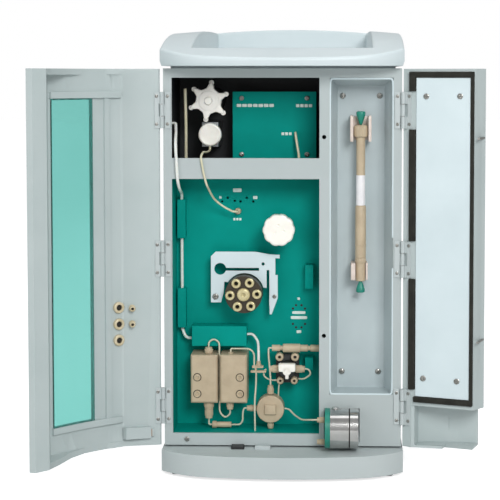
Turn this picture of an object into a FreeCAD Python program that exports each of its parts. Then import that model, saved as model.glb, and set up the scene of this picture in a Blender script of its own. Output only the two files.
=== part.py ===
import FreeCAD, Part
import math
import os
import Sketcher

# Ion chromatograph with its two front doors open, in millimetres.
# X runs to the right, Y to the back and Z up. The cabinet's front plane is Y = 0,
# its middle is X = 0 and the table is Z = 0 until the last step, which moves the
# whole so that the middle of its footprint is the origin.

doc = FreeCAD.newDocument("IonChromatograph")
sheet = doc.addObject("Spreadsheet::Sheet", "Sizes")
sheet_rows = []


class Measure:
    """A length that keeps the sheet formula it comes from."""

    def __init__(self, value, text):
        self.value = float(value)
        self.text = text

    def joined(self, other, sign, value):
        return Measure(value, f"({self.text} {sign} {text_of(other)})")

    def __add__(self, other):
        return self.joined(other, "+", self.value + number(other))

    def __radd__(self, other):
        return self + other

    def __sub__(self, other):
        return self.joined(other, "-", self.value - number(other))

    def __rsub__(self, other):
        return Measure(number(other) - self.value, f"({text_of(other)} - {self.text})")

    def __mul__(self, other):
        return self.joined(other, "*", self.value * number(other))

    def __rmul__(self, other):
        return self * other

    def __truediv__(self, other):
        return self.joined(other, "/", self.value / number(other))

    def __neg__(self):
        return Measure(-self.value, f"(0 - {self.text})")


def number(quantity):
    """The plain number of a Measure or a number."""
    return quantity.value if isinstance(quantity, Measure) else float(quantity)


def text_of(quantity):
    """The sheet formula of a Measure or a number."""
    return quantity.text if isinstance(quantity, Measure) else f"{float(quantity):.5f}"


def size(alias, value):
    """Write one driving dimension into the sheet and hand it back as a Measure."""
    sheet_rows.append(alias)
    cell = f"A{len(sheet_rows)}"
    sheet.set(cell, str(value))
    sheet.setAlias(cell, alias)
    return Measure(value, f"Sizes.{alias}")


# Driving dimensions
case_half = size("case_half_width", 124)
case_depth = size("case_depth", 330)
case_foot = size("case_foot_height", 28)
case_top = size("case_top_height", 423.5)
wall = size("case_wall", 2.5)
plate = size("front_plate", 3)
skirt_half = case_half + size("skirt_overhang", 2)
skirt_depth = case_depth + size("skirt_back_overhang", 5)
bulge = size("front_bulge", 44)
bow_radius = size("front_bow_radius", 480)
corner_radius = size("front_corner_radius", 90)
bow_half = size("front_bow_half", 75)
foot_height = size("foot_height", 3.5)
foot_radius = size("foot_radius", 6.5)
base_top = size("base_top_height", 26)
base_wall = size("base_wall", 3)
cap_foot = size("cap_foot_height", 426)
tray_floor = size("tray_floor_height", 431)
tray_half = size("tray_half_width", 93)
tray_front = size("tray_front_wall", 8)
tray_back = size("tray_back_wall", 12)
lip_height = size("tray_lip_height", 441.5)
post_left = size("bay_right_edge", 38.5)
bay_left = size("frame_stile_width", 8.8) - case_half
upper_bay_top = size("upper_bay_top", 413.8)
upper_bay_foot = size("upper_bay_foot", 330.2)
wet_bay_top = size("wet_bay_top", 308.5)
wet_bay_foot = size("wet_bay_foot", 40.6)
column_bay_left = size("column_bay_left", 49.2)
column_bay_right = case_half - size("column_stile_width", 8.7)
column_bay_foot = size("column_bay_foot", 82.5)
upper_bay_depth = size("upper_bay_depth", 98)
wet_bay_depth = size("wet_bay_depth", 45)
column_bay_depth = size("column_bay_depth", 36)
column_taper = size("column_bay_taper", 8)
liner_wall = size("liner_wall", 1.8)
running_gap = size("running_clearance", 0.05)
moving_gap = size("moving_clearance", 0.3)
hinge_out = case_half + size("hinge_standoff", 1)
hinge_front = size("hinge_front", 3)
pin_radius = size("hinge_pin_radius", 1.2)
knuckle_radius = size("hinge_knuckle_radius", 2.2)
hinge_height = size("hinge_height", 37.8)
door_foot = size("door_foot_height", 28.5)
door_top = size("door_top_height", 423)
door_skin = size("door_skin", 2.5)
door_flange = size("door_flange", 6)
window_left = size("window_near_edge", 68)
window_right = size("window_far_edge", 116)
window_foot = size("window_foot_height", 62.6)
window_top = size("window_top_height", 391.5)
window_sheet = size("window_sheet", 2)
block_foot = size("door_block_foot", 73)
gasket_depth = size("gasket_depth", 3)
left_opening = size("left_door_opening", 129)
right_opening = size("right_door_opening", 160)
valve_x = size("valve_across", -41.5)
valve_z = size("valve_height", 185.4)
valve_radius = size("valve_radius", 19.6)
port_circle = size("port_circle_radius", 14.2)
port_bore = size("port_bore_radius", 2.4)
head_gap = size("pump_head_seam", 2.7)
head_width = size("pump_head_width", 28.4)
head_foot = size("pump_head_foot", 69.8)
head_top = size("pump_head_top", 121.1)
head_front = size("pump_head_front", 12)
heads_left = size("pump_heads_left", -97.6)
line_y = size("plumbing_plane", 22)
capillary_radius = size("capillary_radius", 0.9)
hose_radius = size("hose_radius", 1.6)
column_x = size("column_across", 81.7)
column_y = size("column_axis_depth", 20)
column_radius = size("column_radius", 5.1)
detector_y = size("detector_axis_front", -13)
detector_z = size("detector_axis_height", 50)
detector_radius = size("detector_radius", 20.8)
damper_x = size("damper_across", -13.5)
damper_z = size("damper_height", 62.7)
damper_radius = size("damper_radius", 14.6)
rotor_x = size("rotor_across", -80)
rotor_z = size("rotor_height", 389)
nut_x = size("suppressor_across", -4.1)
nut_z = size("suppressor_height", 254.4)
handle_x = size("purge_across", 4.3)
handle_z = size("purge_height", 104.7)
screw_head = size("screw_head_radius", 3)
screw_lift = size("screw_head_height", 1.6)
doc.recompute()

nodes = {}


# Plain building blocks bound to the sheet
def bind(thing, path, quantity):
    """Set a property and tie it to the sheet when it comes from there."""
    if isinstance(quantity, Measure):
        thing.setExpression(path, quantity.text)


def stand(thing, x, y, z, axis=None, angle=0):
    """Put a primitive at a place, turned about an axis when one is given."""
    turn = FreeCAD.Rotation(FreeCAD.Vector(*(axis or (0, 0, 1))), angle)
    thing.Placement = FreeCAD.Placement(FreeCAD.Vector(number(x), number(y), number(z)), turn)
    bind(thing, "Placement.Base.x", x)
    bind(thing, "Placement.Base.y", y)
    bind(thing, "Placement.Base.z", z)
    return thing


def add(kind, name, **sizes):
    """Add a primitive whose named sizes may be Measures."""
    thing = doc.addObject(kind, name)
    for prop, quantity in sizes.items():
        setattr(thing, prop, number(quantity))
        bind(thing, prop, quantity)
    return thing


def box(name, x0, x1, y0, y1, z0, z1):
    """A block between two corners."""
    block = add("Part::Box", name, Length=x1 - x0, Width=y1 - y0, Height=z1 - z0)
    return stand(block, x0, y0, z0)


def rod_z(name, radius, x, y, z0, z1):
    """A round bar along Z."""
    return stand(add("Part::Cylinder", name, Radius=radius, Height=z1 - z0), x, y, z0)


def rod_y(name, radius, x, z, y0, y1):
    """A round bar along Y."""
    bar = add("Part::Cylinder", name, Radius=radius, Height=y1 - y0)
    return stand(bar, x, y0, z, (1, 0, 0), -90)


def rod_x(name, radius, y, z, x0, x1):
    """A round bar along X."""
    bar = add("Part::Cylinder", name, Radius=radius, Height=x1 - x0)
    return stand(bar, x0, y, z, (0, 1, 0), 90)


def cone_z(name, low, high, x, y, z0, z1):
    """A tapered round bar along Z."""
    return stand(add("Part::Cone", name, Radius1=low, Radius2=high, Height=z1 - z0), x, y, z0)


def fuse(name, pieces):
    """One solid of pieces that overlap or share a face."""
    whole = doc.addObject("Part::MultiFuse", name)
    whole.Shapes = pieces
    whole.Refine = True
    return whole


def cut(name, base, tools):
    """The base less every tool."""
    tool = tools[0]
    if len(tools) > 1:
        tool = doc.addObject("Part::MultiFuse", name + "_tools")
        tool.Shapes = tools
    whole = doc.addObject("Part::Cut", name)
    whole.Base = base
    whole.Tool = tool
    whole.Refine = True
    return whole


def group(name, pieces):
    """Separate like solids that share one node."""
    whole = doc.addObject("Part::Compound", name)
    whole.Links = pieces
    return whole


def keep(name, thing):
    """Name a finished sub-part and its file."""
    thing.Label = name
    nodes[name] = thing
    return thing


def plane_of(body, role):
    """The origin plane of a body with this role."""
    return [plane for plane in body.Origin.OriginFeatures if plane.Role == role][0]


def sketch_on(body, name, role):
    """An empty sketch on one of the body's origin planes."""
    sketch = body.newObject("Sketcher::SketchObject", name)
    sketch.AttachmentSupport = [(plane_of(body, role), "")]
    sketch.MapMode = "FlatFace"
    return sketch


def outline(sketch, corners, bows=None):
    """A closed outline through the corners; bows gives a middle point for an arc by corner."""
    bows = bows or {}
    first = sketch.GeometryCount
    points = [FreeCAD.Vector(number(u), number(v), 0) for u, v in corners]
    for index, start in enumerate(points):
        end = points[(index + 1) % len(points)]
        if index in bows:
            middle = FreeCAD.Vector(number(bows[index][0]), number(bows[index][1]), 0)
            sketch.addGeometry(Part.Arc(start, middle, end), False)
        else:
            sketch.addGeometry(Part.LineSegment(start, end), False)
    if bows:
        return sketch
    for index, (u, v) in enumerate(corners):
        line = first + index
        after = first + (index + 1) % len(corners)
        sketch.addConstraint(Sketcher.Constraint("Coincident", line, 2, after, 1))
        for kind, place in (("DistanceX", u), ("DistanceY", v)):
            row = sketch.addConstraint(Sketcher.Constraint(kind, -1, 1, line, 1, number(place)))
            bind(sketch, f"Constraints[{row}]", place)
    return sketch


def pad(body, name, sketch, height, middle=False):
    """A pad of the sketch along its own normal."""
    solid = body.newObject("PartDesign::Pad", name)
    solid.Profile = sketch
    solid.Length = number(height)
    bind(solid, "Length", height)
    if middle:
        solid.Midplane = True
    return solid


def lift(sketch, height):
    """Raise a sketch off its plane."""
    sketch.AttachmentOffset = FreeCAD.Placement(FreeCAD.Vector(0, 0, number(height)), FreeCAD.Rotation())
    bind(sketch, "AttachmentOffset.Base.z", height)


def slab(name, corners, z0, z1, bows=None):
    """A body that is one outline in plan, between two heights."""
    body = doc.addObject("PartDesign::Body", name)
    sketch = outline(sketch_on(body, name + "_plan", "XY_Plane"), corners, bows)
    lift(sketch, z0)
    pad(body, name + "_pad", sketch, z1 - z0)
    return body


def wafer(name, corners, y0, y1):
    """A body that is one outline seen from the front, between two depths."""
    body = doc.addObject("PartDesign::Body", name)
    sketch = outline(sketch_on(body, name + "_front", "XZ_Plane"), corners)
    lift(sketch, -y1)
    pad(body, name + "_pad", sketch, y1 - y0)
    return body


def bent_tube(name, radius, points):
    """A tube along straight runs that are joined by tangent arcs."""
    stops = [FreeCAD.Vector(number(x), number(y), number(z)) for x, y, z in points]
    edges = []
    start = stops[0]
    for before, corner, after in zip(stops, stops[1:], stops[2:]):
        to_start = (before - corner).normalize()
        to_end = (after - corner).normalize()
        half_turn = (math.pi - to_start.getAngle(to_end)) / 2
        shorter = min((before - corner).Length, (after - corner).Length)
        setback = 0.45 * shorter
        bend = setback / math.tan(half_turn)
        inward = (to_start + to_end).normalize()
        nearest = corner + inward * (bend / math.cos(half_turn) - bend)
        arc_start = corner + to_start * setback
        arc_end = corner + to_end * setback
        edges.append(Part.LineSegment(start, arc_start).toShape())
        edges.append(Part.Arc(arc_start, nearest, arc_end).toShape())
        start = arc_end
    edges.append(Part.LineSegment(start, stops[-1]).toShape())
    path = Part.Wire(edges)
    heading = (stops[1] - stops[0]).normalize()
    ring = Part.Wire(Part.makeCircle(number(radius), stops[0], heading))
    sweep = path.makePipeShell([ring], True, True)
    expected = math.pi * number(radius) ** 2 * path.Length
    if abs(sweep.Volume / expected - 1) > 0.02:
        raise ValueError(f"{name}: the tube's volume is {sweep.Volume:.1f}, not {expected:.1f}")
    tube = doc.addObject("Part::Feature", name)
    tube.Shape = sweep
    return tube


# Plan curve shared by the base, the cap and the doors
def bow_y(x, inset=0.0):
    """Depth of the front curve at a distance from the middle, moved inward by the inset."""
    bow = number(bow_radius)
    corner = number(corner_radius)
    half = number(bow_half)
    bow_centre = bow - number(bulge)
    if abs(x) <= half * (bow - inset) / bow:
        return bow_centre - math.sqrt((bow - inset) ** 2 - x * x)
    slope = half / bow
    centre_x = half - corner * slope
    centre_y = bow_centre - math.sqrt(bow ** 2 - half ** 2) + corner * math.sqrt(1 - slope ** 2)
    return centre_y - math.sqrt((corner - inset) ** 2 - (abs(x) - centre_x) ** 2)


def skirt_outline(inset):
    """Outline of the base or cap, moved inward by the inset."""
    half = number(skirt_half) - inset
    bend = number(bow_half) * (1 - inset / number(bow_radius))
    back = number(skirt_depth) - inset
    between = (half + bend) / 2
    corners = [(-half, back), (-half, bow_y(half, inset)), (-bend, bow_y(bend, inset)),
               (bend, bow_y(bend, inset)), (half, bow_y(half, inset)), (half, back)]
    bows = {1: (-between, bow_y(between, inset)), 2: (0.0, bow_y(0.0, inset)), 3: (between, bow_y(between, inset))}
    return corners, bows


# Base tray with its plinth and hollow underside
def make_base():
    corners, bows = skirt_outline(0)
    tray = slab("base_solid", corners, foot_height, base_top, bows)
    corners, bows = skirt_outline(number(base_wall))
    hollow = slab("base_hollow", corners, foot_height, base_top - base_wall, bows)
    shell = cut("base_shell", tray, [hollow])
    plinth = box("base_plinth", -case_half + 8, case_half - 8, 12, case_depth - 8, base_top, case_foot)
    bosses = []
    for side in (-1, 1):
        for row, y in enumerate((12, case_depth - 30)):
            bosses.append(rod_z(f"foot_boss_{side + 1}_{row}", foot_radius + 2.5, 110 * side, y,
                                foot_height, base_top - base_wall))
    keep("base_tray", fuse("base_tray", [shell, plinth] + bosses))
    feet = [cone_z(f"foot_{side + 1}_{row}", foot_radius - 0.8, foot_radius, 110 * side, y, 0, foot_height)
            for side in (-1, 1) for row, y in enumerate((12, case_depth - 30))]
    keep("rubber_feet", group("rubber_feet", feet))
    blocks = [box("drain_block", -53.4, -39.8, -10, -1, base_top, base_top + 3.6),
              box("lock_block", -28.7, -12.3, -10, -1, base_top, base_top + 3.6)]
    keep("base_blocks", group("base_blocks", blocks))


catch_heights = (352.3, 144.3)


# Cabinet shell, front frame and rear panel
def make_cabinet():
    outer = box("shell_outer", -case_half, case_half, plate, case_depth - plate, case_foot, case_top)
    inner = box("shell_inner", -case_half + wall, case_half - wall, 0, case_depth, case_foot + wall,
                case_top - wall)
    keep("cabinet_shell", cut("cabinet_shell", outer, [inner]))
    face = box("frame_face", -case_half, case_half, 0, plate, case_foot, case_top)
    windows = [
        box("upper_opening", bay_left, post_left, -1, plate + 1, upper_bay_foot, upper_bay_top),
        box("wet_opening", bay_left, post_left, -1, plate + 1, wet_bay_foot, wet_bay_top),
        box("column_opening", column_bay_left, column_bay_right, -1, plate + 1, column_bay_foot,
            upper_bay_top),
        box("detector_opening", 43.6, 81, -1, plate + 1, detector_z - 18, detector_z + 18),
    ]
    for row, z in enumerate(catch_heights):
        windows.append(rod_y(f"catch_hole_{row}", 2.2, post_left + 4.9, z, -1, plate + 1))
    keep("front_frame", cut("front_frame", face, windows))
    back = box("back_face", -case_half, case_half, case_depth - plate, case_depth, case_foot, case_top)
    holes = [rod_y("fan_hole", 27, -60, 330, case_depth - plate - 1, case_depth + 1),
             box("inlet_hole", 58, 86, case_depth - plate - 1, case_depth + 1, 60, 108)]
    vent_rows = 6
    for row in range(vent_rows):
        low = 200 + row * 9
        holes.append(box(f"vent_{row}", 30, 100, case_depth - plate - 1, case_depth + 1, low, low + 4))
    keep("rear_panel", cut("rear_panel", back, holes))


# Cap with a sunk tray, a low front lip and raised shoulders
def make_cap():
    corners, bows = skirt_outline(0)
    plan = slab("cap_plan", corners, cap_foot, cap_foot + 60, bows)
    crown = 8.0
    reach = number(skirt_half) + 4
    profile = ((-60, 16), (-10, 20.5), (45, 32), (95, 40.5), (150, 44.6), (210, 46.2), (270, 47),
               (number(skirt_depth) + 5, 47.5))
    wires = []
    for y, rise in profile:
        top = number(cap_foot) + rise
        foot = number(cap_foot) - 2
        left = FreeCAD.Vector(-reach, y, top - crown)
        right = FreeCAD.Vector(reach, y, top - crown)
        edges = [Part.Arc(left, FreeCAD.Vector(0, y, top), right).toShape(),
                 Part.LineSegment(right, FreeCAD.Vector(reach, y, foot)).toShape(),
                 Part.LineSegment(FreeCAD.Vector(reach, y, foot), FreeCAD.Vector(-reach, y, foot)).toShape(),
                 Part.LineSegment(FreeCAD.Vector(-reach, y, foot), left).toShape()]
        wires.append(Part.Wire(edges))
    dome = doc.addObject("Part::Feature", "cap_dome")
    dome.Shape = Part.makeLoft(wires, True, False)
    block = doc.addObject("Part::Common", "cap_block")
    block.Base = plan
    block.Tool = dome
    tray = box("tray_hollow", -tray_half, tray_half, -bulge + tray_front, skirt_depth - tray_back,
               tray_floor, cap_foot + 60)
    notch = box("tray_notch", -tray_half, tray_half, -bulge - 2, -bulge + tray_front + 1, lip_height,
                lip_height + 50)
    plinth = box("cap_plinth", -case_half + 6, case_half - 6, 6, case_depth - 8, case_top, cap_foot)
    keep("top_tray", fuse("top_tray", [cut("cap_sunk", block, [tray, notch]), plinth]))


# Black upper bay with its module, rotor and regulator
def make_upper_bay():
    left, right, foot, top = bay_left - 1.8, post_left + 1.4, upper_bay_foot - 8, upper_bay_top + 2
    outer = box("bay_outer", left - liner_wall, right + liner_wall, plate, upper_bay_depth + liner_wall,
                foot - liner_wall, top + liner_wall)
    inner = box("bay_inner", left, right, 0, upper_bay_depth, foot, top)
    keep("upper_bay_liner", cut("upper_bay_liner", outer, [inner]))
    keep("upper_bay_module", box("upper_bay_module", -54, 32.4, 60, upper_bay_depth, foot, 396.8))
    face = box("module_face", -55.8, 34.4, 58, 60, foot, 398.8)
    spots = [(-46.1, 394.7 - 3), (24.4, 394.7 - 3), (-46.1, foot + 9), (24.4, foot + 9)]
    keep("upper_bay_plate", face)
    screws = [rod_y(f"module_screw_{row}", screw_head - 0.3, x, z, 58 - screw_lift, 58)
              for row, (x, z) in enumerate(spots)]
    motor = rod_y("rotor_drive", 14, rotor_x, rotor_z, 50, upper_bay_depth)
    shaft = rod_y("rotor_shaft", 2.5, rotor_x, rotor_z, 34, 51)
    keep("rotor_motor", fuse("rotor_motor", [motor, shaft]))
    hub = rod_y("rotor_hub", 12.3, rotor_x, rotor_z, 36, 48)
    arms = []
    for turn in range(6):
        angle = 12 + 60 * turn
        arm = add("Part::Box", f"rotor_arm_{turn}", Length=18, Width=5, Height=4)
        place = FreeCAD.Placement(FreeCAD.Vector(rotor_x.value, 38, rotor_z.value),
                                  FreeCAD.Rotation(FreeCAD.Vector(0, 1, 0), angle))
        arm.Placement = place.multiply(FreeCAD.Placement(FreeCAD.Vector(2, 0, -2), FreeCAD.Rotation()))
        tip = rod_y(f"rotor_tip_{turn}", 2.6, rotor_x + 20 * math.cos(math.radians(angle)),
                    rotor_z - 20 * math.sin(math.radians(angle)), 38, 43)
        arms += [arm, tip]
    bore = rod_y("rotor_bore", running_gap + 2.5, rotor_x, rotor_z, 30, 49)
    keep("six_arm_rotor", cut("six_arm_rotor", fuse("rotor_star", [hub] + arms), [bore]))
    keep("regulator_plate", box("regulator_plate", -88, -70, 45, upper_bay_depth, 339.5, 366.5))
    disc = rod_y("regulator_knob", 12.3, -78.8, 353.1, 38, 45)
    keep("regulator_disc", disc)
    return screws


# Teal tub of the wet end with its hose clips
def make_wet_bay():
    outer = box("tub_outer", bay_left - 2, post_left + 2, plate, wet_bay_depth + 2, wet_bay_foot - 2,
                wet_bay_top + 2)
    inner = box("tub_inner", bay_left, post_left, 0, wet_bay_depth, wet_bay_foot, wet_bay_top)
    holes = []
    for row, (x, z) in enumerate(((-66.4, 281.3), (-60.3, 285.3), (-52.7, 281.9), (-46.6, 281.3),
                                  (-39.8, 285.3), (-33, 281.3))):
        holes.append(rod_y(f"mark_hole_{row}", 1.3, x, z, wet_bay_depth - 1, wet_bay_depth + 3))
    keep("wet_end_bay", cut("wet_end_bay", outer, [inner] + holes))
    clips = []
    for row, (x, low, high) in enumerate(((-109, 242.6, 284.1), (-109, 146.5, 188.9), (27.3, 188.9, 214.8),
                                          (27.3, 101.3, 115.2))):
        back = box(f"clip_back_{row}", x - 4.3, x + 4.3, 43, wet_bay_depth, low, high)
        left = box(f"clip_left_{row}", x - 4.3, x - 2.3, 35, wet_bay_depth, low, high)
        right = box(f"clip_right_{row}", x + 2.3, x + 4.3, 35, wet_bay_depth, low, high)
        clips.append(fuse(f"clip_{row}", [back, left, right]))
    keep("tube_clips", group("tube_clips", clips))


# Six-port injection valve and the pale bracket around it
def make_valve():
    corners = [(-77.2, 174.8), (-66.5, 174.8), (-63.6, 185.4), (-62.9, 197), (-15.3, 190), (-15.3, 181),
               (-14.6, 162.1), (-12.6, 162.1), (-6.1, 179.4), (-6.1, 204.2), (-8.6, 204.2), (-8.6, 222.2),
               (-4, 222.2), (-4, 225.9), (-14.5, 226.4), (-30, 229.1), (-72, 229.1), (-77.2, 224)]
    face = wafer("bracket_face", corners, 28.5, 30)
    arch = rod_y("bracket_arch", valve_radius + 1.2, valve_x, valve_z, 20, 35)
    slot = box("bracket_slot", -17.9, -15, 20, 35, 178, 209.5)
    paddle = [rod_y("paddle_eye", 6.3, -67.3, 210.7, 20, 35), box("paddle_bar", -67, -26, 20, 35, 208.8, 211.8)]
    hole = rod_y("bracket_hole", 1.7, -21.6, 216.1, 20, 35)
    sheet_metal = cut("bracket_sheet", face, [arch, slot, hole] + paddle)
    flange = box("bracket_flange", -77.2, -75.7, 29, wet_bay_depth, 176, 222)
    studs = [rod_y("bracket_stud_left", 3.6, -72.3, 181.1, 29, wet_bay_depth),
             rod_y("bracket_stud_right", 2.4, -9.6, 181.3, 29, wet_bay_depth)]
    keep("valve_bracket", fuse("valve_bracket", [sheet_metal, flange] + studs))
    stator = rod_y("valve_stator", valve_radius, valve_x, valve_z, 13, 38)
    foot = rod_y("valve_foot", valve_radius - 3, valve_x, valve_z, 38, wet_bay_depth)
    sockets = [rod_y("boss_socket", 6.9, valve_x, valve_z, 12, 16)]
    rings, cuts = [], []
    for turn in range(6):
        angle = math.radians(3 + 60 * turn)
        x = valve_x + port_circle * math.cos(angle)
        z = valve_z + port_circle * math.sin(angle)
        sockets.append(rod_y(f"port_socket_{turn}", port_bore + 2.6, x, z, 12, 18))
        ring = rod_y(f"port_ring_{turn}", port_bore + 2.6, x, z, 9.5, 18)
        bore = rod_y(f"port_drill_{turn}", port_bore, x, z, 9, 16.5)
        rings.append(cut(f"port_{turn}", ring, [bore]))
    keep("injection_valve_body", cut("injection_valve_body", fuse("valve_round", [stator, foot]), sockets))
    keep("injection_valve_ports", group("injection_valve_ports", rings))
    boss = rod_y("boss_round", 6.9, valve_x, valve_z, 10.5, 16)
    keep("injection_valve_boss", cut("injection_valve_boss", boss,
                                     [rod_y("boss_drill", 2, valve_x, valve_z, 9, 14)]))
    return [rod_y("bracket_screw_left", 3.3, -72.3, 181.1, 26.9, 28.5),
            rod_y("bracket_screw_right", 2.2, -9.6, 181.3, 26.9, 28.5)]


# Suppressor body and its scalloped white union nut
def make_suppressor():
    body = rod_y("suppressor_barrel", 13, nut_x, nut_z, 18, wet_bay_depth)
    stud = rod_y("suppressor_stud", 7, nut_x, nut_z, 6, 19)
    keep("suppressor_body", fuse("suppressor_body", [body, stud]))
    lobes = [rod_y("nut_core", 14.6, nut_x, nut_z, 4.5, 17.7)]
    for turn in range(10):
        angle = math.radians(36 * turn)
        lobes.append(rod_y(f"nut_lobe_{turn}", 3.4, nut_x + 13.5 * math.cos(angle),
                           nut_z + 13.5 * math.sin(angle), 4.5, 17.7))
    bore = rod_y("nut_bore", running_gap + 7, nut_x, nut_z, 5.9, 19)
    holes = [rod_y(f"nut_hole_{row}", 1.6, nut_x + dx, nut_z + dz, 2, 5.9)
             for row, (dx, dz) in enumerate(((0.6, 5.3), (-5.4, -1.1), (3.7, -2.9)))]
    keep("suppressor_nut", cut("suppressor_nut", fuse("nut_round", lobes), [bore] + holes))


# Twin pump heads under their teal cover
def make_pump():
    cover = box("cover_block", heads_left, heads_left + 58.6, 25, wet_bay_depth, 128.2, 150)
    keep("pump_cover", cover)
    heads = []
    right_start = heads_left + head_width + head_gap
    for name, x in (("pump_head_left", heads_left), ("pump_head_right", right_start)):
        block = box(name + "_block", x, x + head_width, head_front, wet_bay_depth, head_foot, head_top)
        heads.append(block)
        soft = doc.addObject("Part::Chamfer", name)
        soft.Base = block
        front = head_front.value
        edges = [(number_of, 1.6, 1.6) for number_of, edge in enumerate(block_edges(block), 1)
                 if edge.BoundBox.YMax < front + 0.01]
        soft.Edges = edges
        keep(name, soft)
    screws = []
    for row, z in enumerate((97.4, 79.8)):
        for col, x in enumerate((-90.6, -45.5)):
            screws.append(rod_y(f"head_screw_{row}_{col}", 4, x, z, head_front - 2.2, head_front))
    return screws


def block_edges(block):
    """Edges of a block once the document has worked it out."""
    doc.recompute()
    return block.Shape.Edges


# Finger-tight nuts, each seated on the port it closes
def make_nuts():
    nuts = [rod_z("nut_head_outlet", 4.5, -79.2, line_y, head_top, 128),
            rod_z("nut_head_inlet", 5.4, -79.2, line_y, 61.3, head_foot),
            rod_z("nut_head_inlet_low", 4.5, -79.2, line_y, 51.8, 61.3),
            rod_z("nut_second_inlet", 3.9, -56.6, line_y, 61.3, head_foot),
            rod_z("nut_second_outlet", 3, -55.8, line_y, head_top, 122.6),
            rod_z("nut_damper_top", 3.5, damper_x, line_y, 77.8, 87.4),
            rod_z("nut_damper_foot", 3.5, damper_x, line_y, 41.2, 47.6),
            rod_x("nut_damper_side", 3.4, line_y, damper_z, -38.6, -28.5),
            rod_x("nut_detector_top", 3.1, detector_y, 58.5, 36.5, 44.6),
            rod_x("nut_detector_foot", 3.1, detector_y, 35.5, 36.5, 44.6),
            rod_y("port_fitting", 3.5, -49.1, 271.2, 39, wet_bay_depth)]
    keep("capillary_nuts", group("capillary_nuts", nuts))


# In-line filters
def make_filters():
    top = fuse("filter_top", [rod_x("filter_nut_a", 3.4, line_y, 127.4, -11.8, -3.3),
                              rod_x("filter_neck_a", 2.4, line_y, 127.4, -3.4, -0.2),
                              rod_x("filter_barrel", 4.6, line_y, 127.4, -0.3, 18.1),
                              rod_x("filter_nut_b", 3.6, line_y, 127.4, 18, 26.1),
                              rod_x("filter_neck_b", 2.4, line_y, 127.4, 26, 29.1),
                              rod_x("filter_nut_c", 3.6, line_y, 127.4, 29, post_left)])
    low = fuse("filter_low", [rod_x("filter_low_nut", 3.8, line_y, 44.8, -75.5, -71),
                              rod_x("filter_low_barrel", 3, line_y, 44.8, -71.1, -55.2)])
    keep("inline_filters", group("inline_filters", [top, low]))


# Pulsation damper
def make_damper():
    disc = rod_y("damper_disc", damper_radius, damper_x, damper_z, 16, 32)
    foot = rod_y("damper_foot", 8, damper_x, damper_z, 31, wet_bay_depth)
    boss = box("damper_boss", damper_x - 6, damper_x + 6, 13, 17, damper_z - 5.2, damper_z + 5.2)
    keep("pulsation_damper", fuse("pulsation_damper", [disc, foot, boss]))


# Purge valve with its white T handle
def make_purge_valve():
    block = box("purge_block", handle_x - 8, handle_x + 8, 18, wet_bay_depth, handle_z - 8, handle_z + 8)
    barrel = rod_y("purge_barrel", 8.6, handle_x, handle_z, 16, 30)
    stem = rod_y("purge_stem", 2.5, handle_x, handle_z, 8, 17)
    keep("purge_valve_body", fuse("purge_valve_body", [block, barrel, stem]))
    fittings = []
    for side in (-1, 1):
        fittings.append(rod_x(f"purge_side_{side + 1}", 3.7, 24, handle_z, handle_x + 8.6 * side + 2.7 * (side - 1),
                              handle_x + 8.6 * side + 2.7 * (side + 1)))
        fittings.append(rod_z(f"purge_top_{side + 1}", 3.4, handle_x + 5.5 * side, 33, handle_z + 8,
                              handle_z + 17))
        fittings.append(cone_z(f"purge_low_{side + 1}", 1.8, 3.2, handle_x + 4.6 * side, 33, handle_z - 15,
                               handle_z - 8))
    cross = [box("tee_bar_top", -31.6, -21, 20, 24, 106, 108.5), box("tee_stem", -30.4, -28, 20, 24, 103, 106.4),
             box("tee_bar_low", -34.7, -18.1, 20, 24, 101, 103.3)]
    fittings.append(fuse("hose_tee", cross))
    keep("purge_fittings", group("purge_fittings", fittings))
    bar = box("handle_bar", handle_x - 9, handle_x + 9, 9, 15.7, handle_z + 0.5, handle_z + 7)
    hub = rod_y("handle_hub", 4.6, handle_x, handle_z, 9, 15.7)
    stem_bar = box("handle_stem", handle_x - 1.8, handle_x + 1.8, 9, 15.7, handle_z - 12, handle_z + 1)
    bore = rod_y("handle_bore", running_gap + 2.5, handle_x, handle_z, 8, 17)
    keep("purge_valve_handle", cut("purge_valve_handle", fuse("handle_tee", [bar, hub, stem_bar]), [bore]))


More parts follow.
